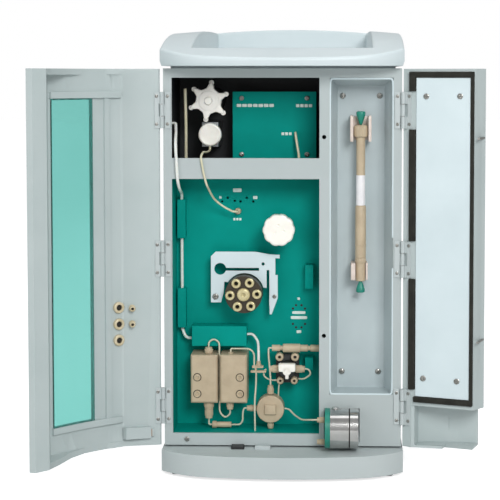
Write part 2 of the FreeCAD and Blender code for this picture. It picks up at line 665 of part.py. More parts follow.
# Capillaries and hoses along their real routes
def make_tubes():
    gap_x = heads_left + head_width + head_gap / 2
    routes = {
        "head_link": [(-79.2, line_y, 128), (-79.2, line_y, 133.5), (-73.5, line_y, 137), (gap_x, line_y, 133),
                      (gap_x, line_y, 58), (-62, line_y, 52), (-56.6, line_y, 56), (-56.6, line_y, 61.3)],
        "pump_outlet": [(-55.8, line_y, 122.6), (-55.8, line_y, 126.4),
                        (-30.8, line_y, 126.4), (-30.8, line_y, 108.5)],
        "pump_inlet": [(-79.2, line_y, 51.8), (-79.2, line_y, 44.8), (-75.5, line_y, 44.8)],
        "filter_outlet": [(-55.2, line_y, 44.8), (-46, line_y, 44.8), (-43.1, line_y, 49), (-43.1, line_y, 58),
                          (-41.8, line_y, damper_z), (-38.6, line_y, damper_z)],
        "drain_line": [(-28.7, 21, 100.9), (-28.9, 20, 86), (-29.7, 13, 75), (-29.8, 12, 60), (-29.4, 12, wet_bay_foot)],
        "damper_feed": [(-11.8, line_y, 127.4), (-15.6, line_y, 127.4), (-15.6, line_y, 120),
                        (-13.5, line_y, 95), (-13.5, line_y, 87.4)],
        "damper_outlet": [(damper_x + damper_radius + 0.1, 24, 62.2), (6, 24, 61.4), (12, 18, 56.5), (20, 2, 55),
                          (28, -9, 57.5), (32, detector_y, 58.5), (36.5, detector_y, 58.5)],
        "purge_loop": [(handle_x + 14, 24, handle_z), (27, 24, handle_z), (29.5, 24, 99), (22, 28, 93), (15.5, 30, 93)],
    }
    tubes = [bent_tube(name, capillary_radius, points) for name, points in routes.items()]
    keep("peek_capillaries", group("peek_capillaries", tubes))
    hose = [(bay_left - 1.8, 20, 366), (-113.2, 19, 366), (-111.8, 10, 358), (-111, -3.4, 345), (-109, -3.4, 307),
            (-107.8, 6, 297), (-108.6, 34, 291), (-109, 38.5, 280), (-109, 38.5, 144), (-104.5, 36, 135.5),
            (heads_left, 35.5, 135.3)]
    keep("white_hose", bent_tube("white_hose", hose_radius, hose))
    sample = [(-78.8, 41.5, 340.7), (-78.9, 41.4, 336.5), (-80.5, 24, 335), (-83, 7, 336.4), (-85, -2.6, 332),
              (-81.5, -2.6, 313), (-79, -1.8, 303), (-76.5, 12, 294), (-73, 25, 285), (-64, 31, 277),
              (-54, 32.6, 271.6), (-49.1, 33, 271.2), (-49.1, 39, 271.2)]
    inlet = [(-104.8, 44, upper_bay_foot - 8), (-104.8, 44, 370), (-105.6, 44, 402)]
    waste = [(12, 58, 354.5), (12, 52, 354.5), (13.6, 49, 344), (16, 46, 331), (16, 46, upper_bay_foot - 8)]
    keep("cream_capillary", group("cream_capillary", [bent_tube("sample_line", 1.1, sample),
                                                      bent_tube("inlet_line", hose_radius, inlet),
                                                      bent_tube("waste_line", 1.3, waste)]))


# Tapered recess with the separation column in its clips
def make_column():
    x0, x1, z0, z1 = column_bay_left, column_bay_right, column_bay_foot, upper_bay_top

    def ring(y, inset, low, grow):
        left, right = number(x0) + inset - grow, number(x1) - inset + grow
        foot, top = number(z0) + low - grow, number(z1) - inset + grow
        points = [FreeCAD.Vector(left, y, foot), FreeCAD.Vector(right, y, foot),
                  FreeCAD.Vector(right, y, top), FreeCAD.Vector(left, y, top)]
        return Part.makePolygon(points + points[:1])

    skin = number(liner_wall)
    back = number(column_bay_depth)
    taper = number(column_taper)
    outer = Part.makeLoft([ring(3, 0, 0, skin), ring(back + skin, taper, 0.5, skin)], True, True)
    inner = Part.makeLoft([ring(2, -0.2, 0, 0), ring(back, taper, 0.5, 0)], True, True)
    pan = doc.addObject("Part::Feature", "column_liner")
    pan.Shape = outer.cut(inner)
    keep("column_liner", pan)
    keep("column_tube", rod_z("column_tube", column_radius, column_x, column_y, 200, 351.4))
    nuts = [rod_z("end_nut_top_body", 7.7, column_x, column_y, 351.4, 364.4),
            rod_z("end_ring_low", 5.9, column_x, column_y, 219, 224)]
    collar = cut("end_collar", nuts[1], [rod_z("collar_bore", column_radius, column_x, column_y, 218, 225)])
    keep("column_end_nuts", group("column_end_nuts", [nuts[0], collar]))
    plugs = [fuse("plug_top", [cone_z("plug_neck", 1.6, 4.6, column_x, column_y, 364.4, 368),
                               rod_z("plug_grip", 4.6, column_x, column_y, 368, 378.7)]),
             fuse("plug_low", [rod_z("plug_grip_low", 5.1, column_x, column_y, 187.3, 197),
                               cone_z("plug_neck_low", 5.1, 2.5, column_x, column_y, 197, 200)])]
    keep("column_plugs", group("column_plugs", plugs))
    clips = []
    for row, (low, high, reach, hold) in enumerate(((346, 376.6, 13, 7.7), (201.1, 219, 10, 5.1))):
        arm = box(f"clip_arm_{row}", column_x - reach, column_x + reach, column_y - 3, column_bay_depth, low, high)
        throat = box(f"clip_throat_{row}", column_x - hold - 0.1, column_x + hold + 0.1, 0, column_y, low - 1,
                     high + 1)
        seat = rod_z(f"clip_seat_{row}", hold, column_x, column_y, low - 1, high + 1)
        clips.append(cut(f"column_clip_{row}", arm, [throat, seat]))
    keep("column_clips", group("column_clips", clips))
    spots = [(62.7, 394.7), (101.8, 394.7), (62.1, 100.1), (100.9, 100.1)]
    return [rod_y(f"liner_screw_{row}", 3.1, x, z, column_bay_depth - screw_lift, column_bay_depth)
            for row, (x, z) in enumerate(spots)]


# Conductivity detector lying in front of the lower panel
def make_detector():
    barrel = rod_x("detector_barrel", detector_radius, detector_y, detector_z, 50.1, 69.5)
    groove = rod_x("detector_groove", detector_radius - 0.8, detector_y, detector_z, 69.4, 70.7)
    end = rod_x("detector_end", detector_radius, detector_y, detector_z, 70.6, 79.1)
    nub = rod_z("detector_nub", 3.6, 55.5, detector_y, detector_z + 15, detector_z + detector_radius + 1.3)
    keep("detector_can", fuse("detector_can", [barrel, groove, end, nub]))
    flange = rod_x("detector_flange", detector_radius, detector_y, detector_z, 44.6, 50.1)
    keep("detector_end_plate", flange)
    seat = box("seat_block", 43.6, 81, plate, 14, detector_z - 19, detector_z + 19)
    saddle = cut("detector_saddle", seat, [rod_x("saddle_round", detector_radius, detector_y, detector_z, 40, 90)])
    keep("detector_saddle", saddle)


# Hinges: one set of leaves on the cabinet, one on each door, and the pins
hinge_heights = (361.3, 206.4, 51.6)


def knuckle(name, x, y, z0, z1):
    return rod_z(name, knuckle_radius, x, y, z0, z1)


def make_cabinet_hinges():
    leaves, pins = [], []
    third = hinge_height / 3
    for side in (-1, 1):
        for row, low in enumerate(hinge_heights):
            name = f"{side + 1}_{row}"
            x = hinge_out * side
            inner = x - 8.5 * side
            tongue = x - 0.6 * side
            start = x - 2.9 * side
            ends = sorted((inner, start), key=number)
            tongue_ends = sorted((start, tongue), key=number)
            wing = box(f"leaf_wing_{name}", ends[0], ends[1], -1.5, 0, low, hinge_height + low)
            web = box(f"leaf_web_{name}", tongue_ends[0], tongue_ends[1], -1.5, 0, third + low + moving_gap,
                      third * 2 + low - moving_gap)
            barrel = knuckle(f"leaf_barrel_{name}", x, -hinge_front, third + low + moving_gap,
                             third * 2 + low - moving_gap)
            bore = rod_z(f"leaf_bore_{name}", pin_radius, x, -hinge_front, low, hinge_height + low)
            leaves.append(cut(f"cabinet_leaf_{name}", fuse(f"leaf_{name}", [wing, web, barrel]), [bore]))
            pins.append(rod_z(f"pin_{name}", pin_radius, x, -hinge_front, low, hinge_height + low))
    keep("cabinet_hinge_leaves", group("cabinet_hinge_leaves", leaves))
    keep("hinge_pins", group("hinge_pins", pins))


def door_place(side):
    """Place of a door drawn closed about its hinge line, swung to where it stands."""
    turn = -left_opening.value if side < 0 else right_opening.value
    return FreeCAD.Placement(FreeCAD.Vector(hinge_out.value * side, -hinge_front.value, 0),
                             FreeCAD.Rotation(FreeCAD.Vector(0, 0, 1), turn))


def swing(name, side, thing):
    """Name a door's sub-part and swing it open."""
    thing.Placement = door_place(side).multiply(thing.Placement)
    return keep(name, thing)


def door_leaves(side, start, end, web_start, web_thick):
    """Three door-side hinge leaves that lie along the line from start to end beside the hinge."""
    leaves = []
    third = hinge_height / 3
    slope = math.degrees(math.atan2(end[1] - start[1], end[0] - start[0]))
    across = FreeCAD.Vector(-math.sin(math.radians(slope)), math.cos(math.radians(slope)), 0)
    offset = across.dot(FreeCAD.Vector(start[0], start[1], 0))
    thick = 1.2
    first = web_start + 4.2

    for row, low in enumerate(hinge_heights):
        name = f"{side + 1}_{row}"
        parts = []
        wing = add("Part::Box", f"door_wing_{name}", Length=4.3, Width=thick, Height=hinge_height)
        web_low = add("Part::Box", f"door_web_low_{name}", Length=4.4, Width=web_thick, Height=third - moving_gap)
        web_high = add("Part::Box", f"door_web_high_{name}", Length=4.4, Width=web_thick, Height=third - moving_gap)
        places = ((wing, first, low, thick), (web_low, web_start, low, web_thick),
                  (web_high, web_start, low + third * 2 + moving_gap, web_thick))
        for block, along, z, depth in places:
            down = offset + 0.02 if side < 0 else offset - 0.02 - depth
            turn = FreeCAD.Rotation(FreeCAD.Vector(0, 0, 1), slope)
            base = FreeCAD.Placement(FreeCAD.Vector(0, 0, number(z)), turn)
            block.Placement = base.multiply(FreeCAD.Placement(FreeCAD.Vector(along, down, 0), FreeCAD.Rotation()))
            parts.append(block)
        parts.append(knuckle(f"door_barrel_low_{name}", 0, 0, low, third + low - moving_gap))
        parts.append(knuckle(f"door_barrel_high_{name}", 0, 0, third * 2 + low + moving_gap, hinge_height + low))
        bore = rod_z(f"door_bore_{name}", pin_radius + running_gap, 0, 0, low - 1, hinge_height + low + 1)
        leaves.append(cut(f"door_leaf_{name}", fuse(f"door_leaf_round_{name}", parts), [bore]))
    return leaves


def outer_v(u, inset=0.5):
    """Depth of a closed door's skin at a distance from its hinge line."""
    return bow_y(number(hinge_out) - u, inset) + number(hinge_front)


# Left door: bowed skin, facet at the hinge, box rim, flanges, ribs and tinted window
def make_left_door():
    skin = door_skin.value
    rim_end = 145.0
    bend_u = number(hinge_out) - number(bow_half)
    inner_bend = bend_u
    facet_end = 31.0
    inner = 0.5 + skin
    profile = [(-0.5, outer_v(-0.5)), (bend_u, outer_v(bend_u)), (rim_end, outer_v(rim_end)), (163.5, -19.0),
               (160.5, -13.5), (144.0, -12.0), (121.0, outer_v(121.0, inner)), (inner_bend, outer_v(inner_bend, inner)),
               (facet_end, outer_v(facet_end, inner)), (1.5, -3.2), (-0.5, -3.2)]
    bows = {0: (25.0, outer_v(25.0)), 1: (100.0, outer_v(100.0)), 6: (85.0, outer_v(85.0, inner)),
            7: (40.0, outer_v(40.0, inner))}
    wall_slab = slab("left_skin", profile, door_foot, door_top, bows)
    hollow = slab("left_rim_hollow", [(127.0, -38.0), (145.5, -15.2), (157.5, -16.2), (158.5, -19.0), (143.5, -38.0)],
                  door_foot + 3, door_top - 3)
    inner_edge = [(30.0, outer_v(30.0, inner) + 0.3), (46.0, -30.0), (55.0, -36.0), (76.0, -36.0),
                  (100.0, -31.0), (124.0, -20.0), (144.0, -12.6)]
    flange_corners = inner_edge + [(130.0, -33.0), (122.0, outer_v(122.0, 1.5)), (bend_u, outer_v(bend_u, 1.5)),
                                   (29.0, outer_v(29.0, 1.5))]
    bows_at = {8: (85.0, outer_v(85.0, 1.5)), 9: (40.0, outer_v(40.0, 1.5))}
    flanges = [slab("left_flange_top", flange_corners, door_top - door_flange, door_top, bows_at),
               slab("left_flange_foot", flange_corners, door_foot, door_foot + door_flange, bows_at)]

    def rib(name, u0, u1, z0, z1, rise):
        corners = [(u0, outer_v(u0, 1.5)), (u1, outer_v(u1, 1.5)), (u1, outer_v(u1, inner) + rise),
                   (u0, outer_v(u0, inner) + rise)]
        middle = (u0 + u1) / 2
        return slab(name, corners, z0, z1, {0: (middle, outer_v(middle, 1.5)),
                                            2: (middle, outer_v(middle, inner) + rise)})

    ribs = [rib("left_rib_top", 34.0, 119.0, window_top + 1.7, window_top + 8.2, 3.2),
            rib("left_rib_foot", 34.0, 119.0, window_foot - 7.8, window_foot - 1.3, 3.2),
            rib("left_rib_post", 46.0, 52.0, window_foot - 2, window_top + 2, 2.2)]
    facet_slope = (outer_v(facet_end, inner) + 3.2) / (facet_end - 1.5)

    def on_facet(u, rise):
        return (u, -3.2 + (u - 1.5) * facet_slope + rise)

    ledge = slab("left_ledge", [on_facet(12.0, -1.0), on_facet(30.0, -1.0), on_facet(34.0, 4.0), on_facet(34.0, 9.0),
                                on_facet(12.0, 6.0)], door_foot + 8.5, door_foot + 20.5)
    tongue = slab("left_tongue", [on_facet(8.0, -1.0), on_facet(12.5, -1.0), on_facet(12.5, 3.5), on_facet(8.0, 3.0)],
                  door_foot + 10, door_foot + 18)
    ribs += [ledge, tongue]
    opening = box("left_window_cut", window_left, window_right, -70, -20, window_foot, window_top)
    whole = fuse("left_door_whole", [cut("left_skin_hollow", wall_slab, [hollow])] + flanges + ribs)
    swing("left_door_shell", -1, cut("left_door_cut", whole, [opening]))
    near, far = window_left.value - 1.6, window_right.value + 1.6
    deep = inner + window_sheet.value
    mid = (near + far) / 2
    pane = [(near, outer_v(near, inner)), (far, outer_v(far, inner)), (far, outer_v(far, deep)),
            (near, outer_v(near, deep))]
    glass = slab("left_pane", pane, window_foot - 1.2, window_top + 1.2,
                 {0: (mid, outer_v(mid, inner)), 2: (mid, outer_v(mid, deep))})
    swing("left_door_window", -1, glass)
    leaves = door_leaves(-1, (1.5, -3.2), (facet_end, outer_v(facet_end, inner)), -0.9, 1.2)
    swing("left_door_hinge_leaves", -1, group("left_door_leaf_group", leaves))
    ports = []
    for row, z in enumerate((175.4, 158, 141.2)):
        u = 36.5
        tilt = math.degrees(math.atan2(outer_v(u + 1, inner) - outer_v(u - 1, inner), 2))
        ports.append(grommet(f"port_disc_{row}", 5.9, 3.2, u, outer_v(u, inner) + 0.24, tilt, z))
    slope = math.degrees(math.atan2(outer_v(facet_end, inner) + 3.2, facet_end - 1.5))
    for row, z in enumerate((174.1, 157.6)):
        u = 24.0
        on_line = -3.2 + (u - 1.5) * math.tan(math.radians(slope))
        ports.append(grommet(f"port_nipple_{row}", 3.5, 7.5, u, on_line, slope, z))
    swing("left_door_ports", -1, group("left_port_group", ports))


def grommet(name, radius, rise, u, v, slope, z):
    """A round hose port that stands square on the door's inner face."""
    disc = add("Part::Cylinder", name, Radius=radius, Height=rise)
    turn = FreeCAD.Rotation(FreeCAD.Vector(0, 0, 1), slope).multiply(
        FreeCAD.Rotation(FreeCAD.Vector(1, 0, 0), -90))
    disc.Placement = FreeCAD.Placement(FreeCAD.Vector(u, v, z), turn)
    return disc


# Right door: thick block with gasket and inner plate, and an open shell below it
def make_right_door():
    bend_u = number(hinge_out) - number(bow_half)
    face = 3.0 - 0.4 - gasket_depth.value
    end_u = 72.0

    def flip(corners):
        return [(-u, v) for u, v in corners]

    upper = [(-0.5, outer_v(-0.5)), (bend_u, outer_v(bend_u)), (end_u, outer_v(end_u)), (83.0, -17.5),
             (76.3, face), (9.5, face), (1.0, -3.2), (-0.5, -3.2)]
    bows = {0: (-25.0, outer_v(25.0)), 1: (-62.0, outer_v(62.0))}
    block = slab("right_block", flip(upper), block_foot, door_top, bows)
    lower = [(-0.5, outer_v(-0.5)), (bend_u, outer_v(bend_u)), (end_u, outer_v(end_u)), (end_u, -12.0), (9.5, face - 0.6),
             (9.5, face), (1.0, -3.2), (-0.5, -3.2)]
    skirt = slab("right_skirt", flip(lower), door_foot, block_foot, bows)
    skin = 0.5 + door_skin.value
    cavity = [(13.0, outer_v(13.0, skin)), (bend_u, outer_v(bend_u, skin)), (end_u + 1, outer_v(end_u + 1, skin)),
              (end_u + 1, 20.0), (13.0, 20.0)]
    hollow = slab("right_skirt_hollow", flip(cavity), door_foot + 2.5, block_foot,
                  {0: (-30.0, outer_v(30.0, skin)), 1: (-62.0, outer_v(62.0, skin))})
    lined = [(17.0, outer_v(17.0, skin)), (bend_u, outer_v(bend_u, skin)), (70.0, outer_v(70.0, skin)), (70.0, 10.0),
             (17.0, 10.0)]
    chamber = slab("right_chamber", flip(lined), block_foot + 16, door_top - 13,
                   {0: (-33.0, outer_v(33.0, skin)), 1: (-60.0, outer_v(60.0, skin))})
    solid = fuse("right_door_whole", [block, skirt])
    groove = rod_x("right_floor_groove", detector_radius + 1, detector_y + hinge_front, detector_z,
                   -end_u - 1, -end_u + 30)
    catch_u = number(hinge_out) - number(post_left) - 4.9
    catch_holes = [rod_y(f"catch_socket_{row}", 1.2, -catch_u, z, -18, 5) for row, z in enumerate(catch_heights)]
    swing("right_door_shell", 1, cut("right_door_cut", solid, [hollow, chamber, groove] + catch_holes))
    ring = cut("right_gasket_ring", box("gasket_outer", -75.5, -9.6, face, face + 3, block_foot + 4, door_top - 3),
               [box("gasket_inner", -72.2, -14.2, face - 1, face + 4, block_foot + 10, door_top - 9)])
    swing("right_door_gasket", 1, ring)
    plate_body = box("inner_plate_solid", -71.9, -14.5, face, face + 1.5, block_foot + 10.3, door_top - 9.3)
    swing("right_door_plate", 1, plate_body)
    spots = [(-25.2, 394.7), (-61, 394.9), (-23.1, 102.5), (-59, 102)]
    screws = [rod_y(f"right_screw_{row}", 3, x, z, face + 1.5, face + 2.5) for row, (x, z) in enumerate(spots)]
    swing("right_door_screws", 1, group("right_screw_group", screws))
    catches = []
    for row, z in enumerate(catch_heights):
        catches.append(rod_y(f"catch_pin_{row}", 1.2, -catch_u, z, -18, 5))
    swing("right_door_catches", 1, group("right_catch_group", catches))
    swing("right_door_hinge_leaves", 1,
          group("right_door_leaf_group", door_leaves(1, (-1.0, -3.2), (-9.5, face), -0.04, 2.4)))


# Drives, power supply, fan and mains inlet inside the cabinet
def make_insides():
    drives = [box("pump_drive_box", -100, -36, wet_bay_depth + 2, 150, 62, 128),
              rod_y("valve_drive_round", 20, valve_x, valve_z, wet_bay_depth + 2, 110)]
    keep("rear_drives", group("rear_drives", drives))
    keep("power_supply", box("power_supply", 10, 110, case_depth - 160, case_depth - 30, case_foot + wall, 92))
    fan_front = case_depth - 23
    fan_outer = box("fan_outer", -90, -30, fan_front, case_depth - plate, 300, 360)
    fan_hole = rod_y("fan_throat", 27.5, -60, 330, fan_front - 7, case_depth)
    spokes = [box("fan_spoke_a", -88, -32, fan_front, fan_front + 2, 328.5, 331.5),
              box("fan_spoke_b", -61.5, -58.5, fan_front, fan_front + 2, 302, 358),
              rod_y("fan_hub_seat", 9, -60, 330, fan_front, fan_front + 4),
              rod_y("fan_axle", 1.5, -60, 330, fan_front + 3, fan_front + 17)]
    ring = cut("fan_ring", fan_outer, [fan_hole])
    keep("fan_frame", fuse("fan_frame", [ring] + spokes))
    hub = rod_y("impeller_hub", 9.5, -60, 330, fan_front + 4.3, fan_front + 18)
    blades = []
    for turn in range(7):
        blade = add("Part::Box", f"impeller_blade_{turn}", Length=18.5, Width=11, Height=1.4)
        place = FreeCAD.Placement(FreeCAD.Vector(-60, fan_front.value + 5.6, 330),
                                  FreeCAD.Rotation(FreeCAD.Vector(0, 1, 0), 360 * turn / 7 + 17))
        tilt = FreeCAD.Placement(FreeCAD.Vector(7, 0, 0), FreeCAD.Rotation(FreeCAD.Vector(1, 0, 0), 24))
        blade.Placement = place.multiply(tilt)
        blades.append(blade)
    bore = rod_y("impeller_bore", running_gap + 1.5, -60, 330, fan_front + 2, fan_front + 17.3)
    keep("fan_impeller", cut("fan_impeller", fuse("impeller_round", [hub] + blades), [bore]))
    shell = box("inlet_shell", 58, 86, case_depth - 28, case_depth + 1.5, 60, 108)
    recess = box("inlet_recess", 61.5, 82.5, case_depth - 18, case_depth + 3, 76, 104)
    prongs = [box(f"inlet_prong_{row}", x, x + 2, case_depth - 19, case_depth - 4, 88 + dz, 93 + dz)
              for row, (x, dz) in enumerate(((64.5, -4), (71, 4), (77.5, -4)))]
    keep("mains_inlet", fuse("mains_inlet", [cut("inlet_cup", shell, [recess])] + prongs))


make_base()
make_cabinet()
make_cap()
loose_screws = make_upper_bay()
make_wet_bay()
loose_screws += make_valve()
make_suppressor()
loose_screws += make_pump()
make_nuts()
make_filters()
make_damper()
make_purge_valve()
make_tubes()
loose_screws += make_column()
loose_screws.append(rod_y("frame_screw", screw_head - 0.4, -100.5, 34.3, -screw_lift, 0))
keep("cabinet_screws", group("cabinet_screws", loose_screws))
make_detector()
make_cabinet_hinges()
make_left_door()
make_right_door()
make_insides()
doc.recompute()

# Move the whole so that the middle of its footprint is the origin
reach = FreeCAD.BoundBox()
for thing in nodes.values():
    reach.add(thing.Shape.optimalBoundingBox(False, False))
shift = FreeCAD.Placement(FreeCAD.Vector(-reach.Center.x, -reach.Center.y, 0), FreeCAD.Rotation())
for thing in nodes.values():
    for axis in ("x", "y", "z"):
        thing.setExpression(f"Placement.Base.{axis}", None)
    thing.Placement = shift.multiply(thing.Placement)
doc.recompute()
print("footprint middle", round(reach.Center.x, 3), round(reach.Center.y, 3))
print("box", round(reach.XLength, 2), round(reach.YLength, 2), round(reach.ZLength, 2))

# Look every object over, then write the sub-parts
for thing in doc.Objects:
    faults = [state for state in thing.State if state in ("Invalid", "Error")]
    if faults:
        raise RuntimeError(f"{thing.Label}: {faults}")
os.makedirs("parts", exist_ok=True)
for name, thing in nodes.items():
    if thing.Shape.isNull() or not thing.Shape.isValid() or thing.Shape.Volume <= 0:
        raise RuntimeError(f"{name}: shape is empty or not valid")
    thing.Shape.exportStep(f"parts/{name}.step")
    print(name, len(thing.Shape.Solids), round(thing.Shape.Volume, 1))
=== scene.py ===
"""Looks of a bench ion chromatograph that stands with its two bowed front doors open.

Lengths are written in millimetres in cabinet coordinates, as in the part's source: X is zero at the
cabinet's middle, Y is zero at its front plane and Z is zero on the bench.
"""

import logging
import math
from dataclasses import dataclass, field
from enum import Enum
from typing import Callable, Sequence

import bmesh
import bpy
import numpy as np
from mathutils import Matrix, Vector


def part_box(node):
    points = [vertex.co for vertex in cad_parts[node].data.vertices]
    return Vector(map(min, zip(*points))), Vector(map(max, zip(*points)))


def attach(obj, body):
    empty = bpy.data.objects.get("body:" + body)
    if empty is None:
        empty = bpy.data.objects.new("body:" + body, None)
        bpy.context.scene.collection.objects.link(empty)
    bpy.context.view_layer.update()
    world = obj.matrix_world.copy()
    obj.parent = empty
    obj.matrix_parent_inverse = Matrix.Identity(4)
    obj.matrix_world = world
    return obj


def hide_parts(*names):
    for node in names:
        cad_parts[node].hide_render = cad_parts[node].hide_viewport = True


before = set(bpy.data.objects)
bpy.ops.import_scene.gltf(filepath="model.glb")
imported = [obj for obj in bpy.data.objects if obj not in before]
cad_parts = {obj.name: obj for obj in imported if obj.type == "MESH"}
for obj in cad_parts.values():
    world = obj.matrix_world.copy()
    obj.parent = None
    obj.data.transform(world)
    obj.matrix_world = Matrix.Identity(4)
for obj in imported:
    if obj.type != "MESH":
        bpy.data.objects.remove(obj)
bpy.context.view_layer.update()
LOG = logging.getLogger("ion_chromatograph")
# Edges of a drawn piece that bend by more than this many degrees are shaded sharp.
DRAWN_SHARP = 38
# A CAD node's corners closer than this, in metres, are one corner, and faces that bend by less than
# this many degrees are one flat face.
MERGE_REACH = 2e-6
FLAT_LIMIT = 0.05
# The way up, for pieces that stand upright.
UP = (0.0, 0.0, 1.0)
# Feet of the three hinges on either side, in millimetres above the bench.
HINGE_ROWS = (361.3, 206.4, 51.6)
Outline = Callable[[np.ndarray], tuple[np.ndarray, np.ndarray]]
Dent = Callable[[np.ndarray, np.ndarray], np.ndarray]


class Body(Enum):
    """Bodies of the part that a piece can ride on."""

    CABINET = "cabinet"
    LEFT_DOOR = "left_door"
    RIGHT_DOOR = "right_door"
    ROTOR = "rotor"
    UNION_NUT = "union_nut"
    PURGE_HANDLE = "purge_handle"


class Texture(Enum):
    """How a surface was made. The value is how much fine detail its grain has."""

    # Powder coat with a fine orange peel.
    PAINTED = 2.0
    # Moulded polymer with a fine spark-eroded grain.
    MOULDED = 5.0
    # Turned bar with rings from the tool.
    TURNED = 3.0
    # Metal with long parallel scratches.
    BRUSHED = 6.0
    # Polished or drawn surface with faint waves.
    SMOOTH = 1.0


def linear(code: str) -> tuple[float, float, float, float]:
    """Turns an sRGB hex colour into the linear colour that a shader takes.

    Args:
        code: six hex digits after a hash.

    Returns:
        Red, green, blue and an alpha of one.
    """
    parts = np.array([int(code[place:place + 2], 16) for place in (1, 3, 5)]) / 255
    low, high = parts / 12.92, ((parts + 0.055) / 1.055) ** 2.4
    red, green, blue = np.where(parts <= 0.04045, low, high)
    return float(red), float(green), float(blue), 1.0


def add_node(tree: bpy.types.NodeTree, kind: str, settings: dict | None = None,
             links: dict | None = None) -> bpy.types.Node:
    """Adds a shader node with its settings and what feeds it.

    Args:
        tree: the material's node tree.
        kind: the node's type name.
        settings: properties by name, and socket values by socket name or number.
        links: the output socket that feeds each input, by the input's name or number.

    Returns:
        The new node.
    """
    node = tree.nodes.new(kind)
    for name, value in (settings or {}).items():
        if isinstance(name, str) and hasattr(node, name) and name not in node.inputs:
            setattr(node, name, value)
        else:
            node.inputs[name].default_value = value
    for name, source in (links or {}).items():
        tree.links.new(source, node.inputs[name])
    return node


@dataclass(frozen=True)
class Finish:
    """A real material and how its surface was made. Lengths are in millimetres.

    The colour wanders between two tones in soft patches, the roughness wanders with the grain, and
    a bump from the grain lies on top.

    Attributes:
        name: the material's name.
        slot: name of the record's material slot for its pieces.
        color: the first tone, as a hex colour.
        tone: the second tone.
        texture: how the surface was made.
        roughness: its middle roughness.
        patch: size of the colour's patches.
        rough_swing: how far the roughness wanders to either side.
        grain: size of the grain.
        depth: height of the grain.
        metallic: one for bare metal, less where a plating is thin and pale.
        ior: index of refraction.
        glow: share of the light that travels under the surface.
        clear: share of the light that passes through.
        streak: how much finer the grain is along X, Y and Z.
        speck: how strongly the grain's peaks take the second tone.
    """

    name: str
    slot: str
    color: str
    tone: str
    texture: Texture
    roughness: float
    patch: float = 40.0
    rough_swing: float = 0.06
    grain: float = 0.7
    depth: float = 0.02
    metallic: float = 0.0
    ior: float = 1.5
    glow: float = 0.0
    clear: float = 0.0
    streak: tuple[float, float, float] = (1.0, 1.0, 1.0)
    speck: float = 0.0

    def material(self) -> bpy.types.Material:
        """Builds the node material, or hands back the one already made.

        Returns:
            The material, on Object coordinates in metres.
        """
        known = bpy.data.materials.get(self.name)
        if known is not None:
            return known
        made = bpy.data.materials.new(self.name)
        made.use_nodes = True
        tree = made.node_tree
        tree.nodes.clear()
        place = add_node(tree, "ShaderNodeTexCoord").outputs["Object"]
        run = add_node(tree, "ShaderNodeMapping", {"Scale": self.streak}, {"Vector": place}).outputs[0]
        patches = add_node(tree, "ShaderNodeTexNoise", {"Scale": 1000 / self.patch, "Detail": 4.0,
                                                        "Roughness": 0.55}, {"Vector": place})
        fine = {"Scale": 1000 / self.grain, "Detail": self.texture.value, "Roughness": 0.6}
        grain = add_node(tree, "ShaderNodeTexNoise", fine, {"Vector": run}).outputs["Fac"]
        blend = add_node(tree, "ShaderNodeMapRange", {"From Min": 0.32, "From Max": 0.68},
                         {"Value": patches.outputs["Fac"]})
        share = blend.outputs["Result"]
        if self.speck:
            dots = add_node(tree, "ShaderNodeMapRange", {"From Min": 0.58, "From Max": 0.72,
                                                         "To Max": self.speck}, {"Value": grain})
            share = add_node(tree, "ShaderNodeMath", {"operation": "MAXIMUM"},
                             {0: share, 1: dots.outputs["Result"]}).outputs[0]
        tint = add_node(tree, "ShaderNodeMix", {"data_type": "RGBA", 6: linear(self.color),
                                                7: linear(self.tone)}, {0: share})
        smoothest = max(0.02, self.roughness - self.rough_swing)
        roughest = min(1.0, self.roughness + self.rough_swing)
        rough = add_node(tree, "ShaderNodeMapRange", {"From Min": 0.3, "From Max": 0.7, "To Min": smoothest,
                                                      "To Max": roughest}, {"Value": grain})
        bump = add_node(tree, "ShaderNodeBump", {"Strength": 0.55, "Distance": self.depth / 1000},
                        {"Height": grain})
        shader = add_node(tree, "ShaderNodeBsdfPrincipled", {
            "Metallic": self.metallic, "IOR": self.ior, "Transmission Weight": self.clear,
            "Subsurface Weight": self.glow, "Subsurface Radius": (0.004, 0.0025, 0.0015),
            "Subsurface Scale": 1.0,
        }, {"Base Color": tint.outputs[2], "Roughness": rough.outputs["Result"],
            "Normal": bump.outputs["Normal"]})
        add_node(tree, "ShaderNodeOutputMaterial", {}, {"Surface": shader.outputs["BSDF"]})
        return made


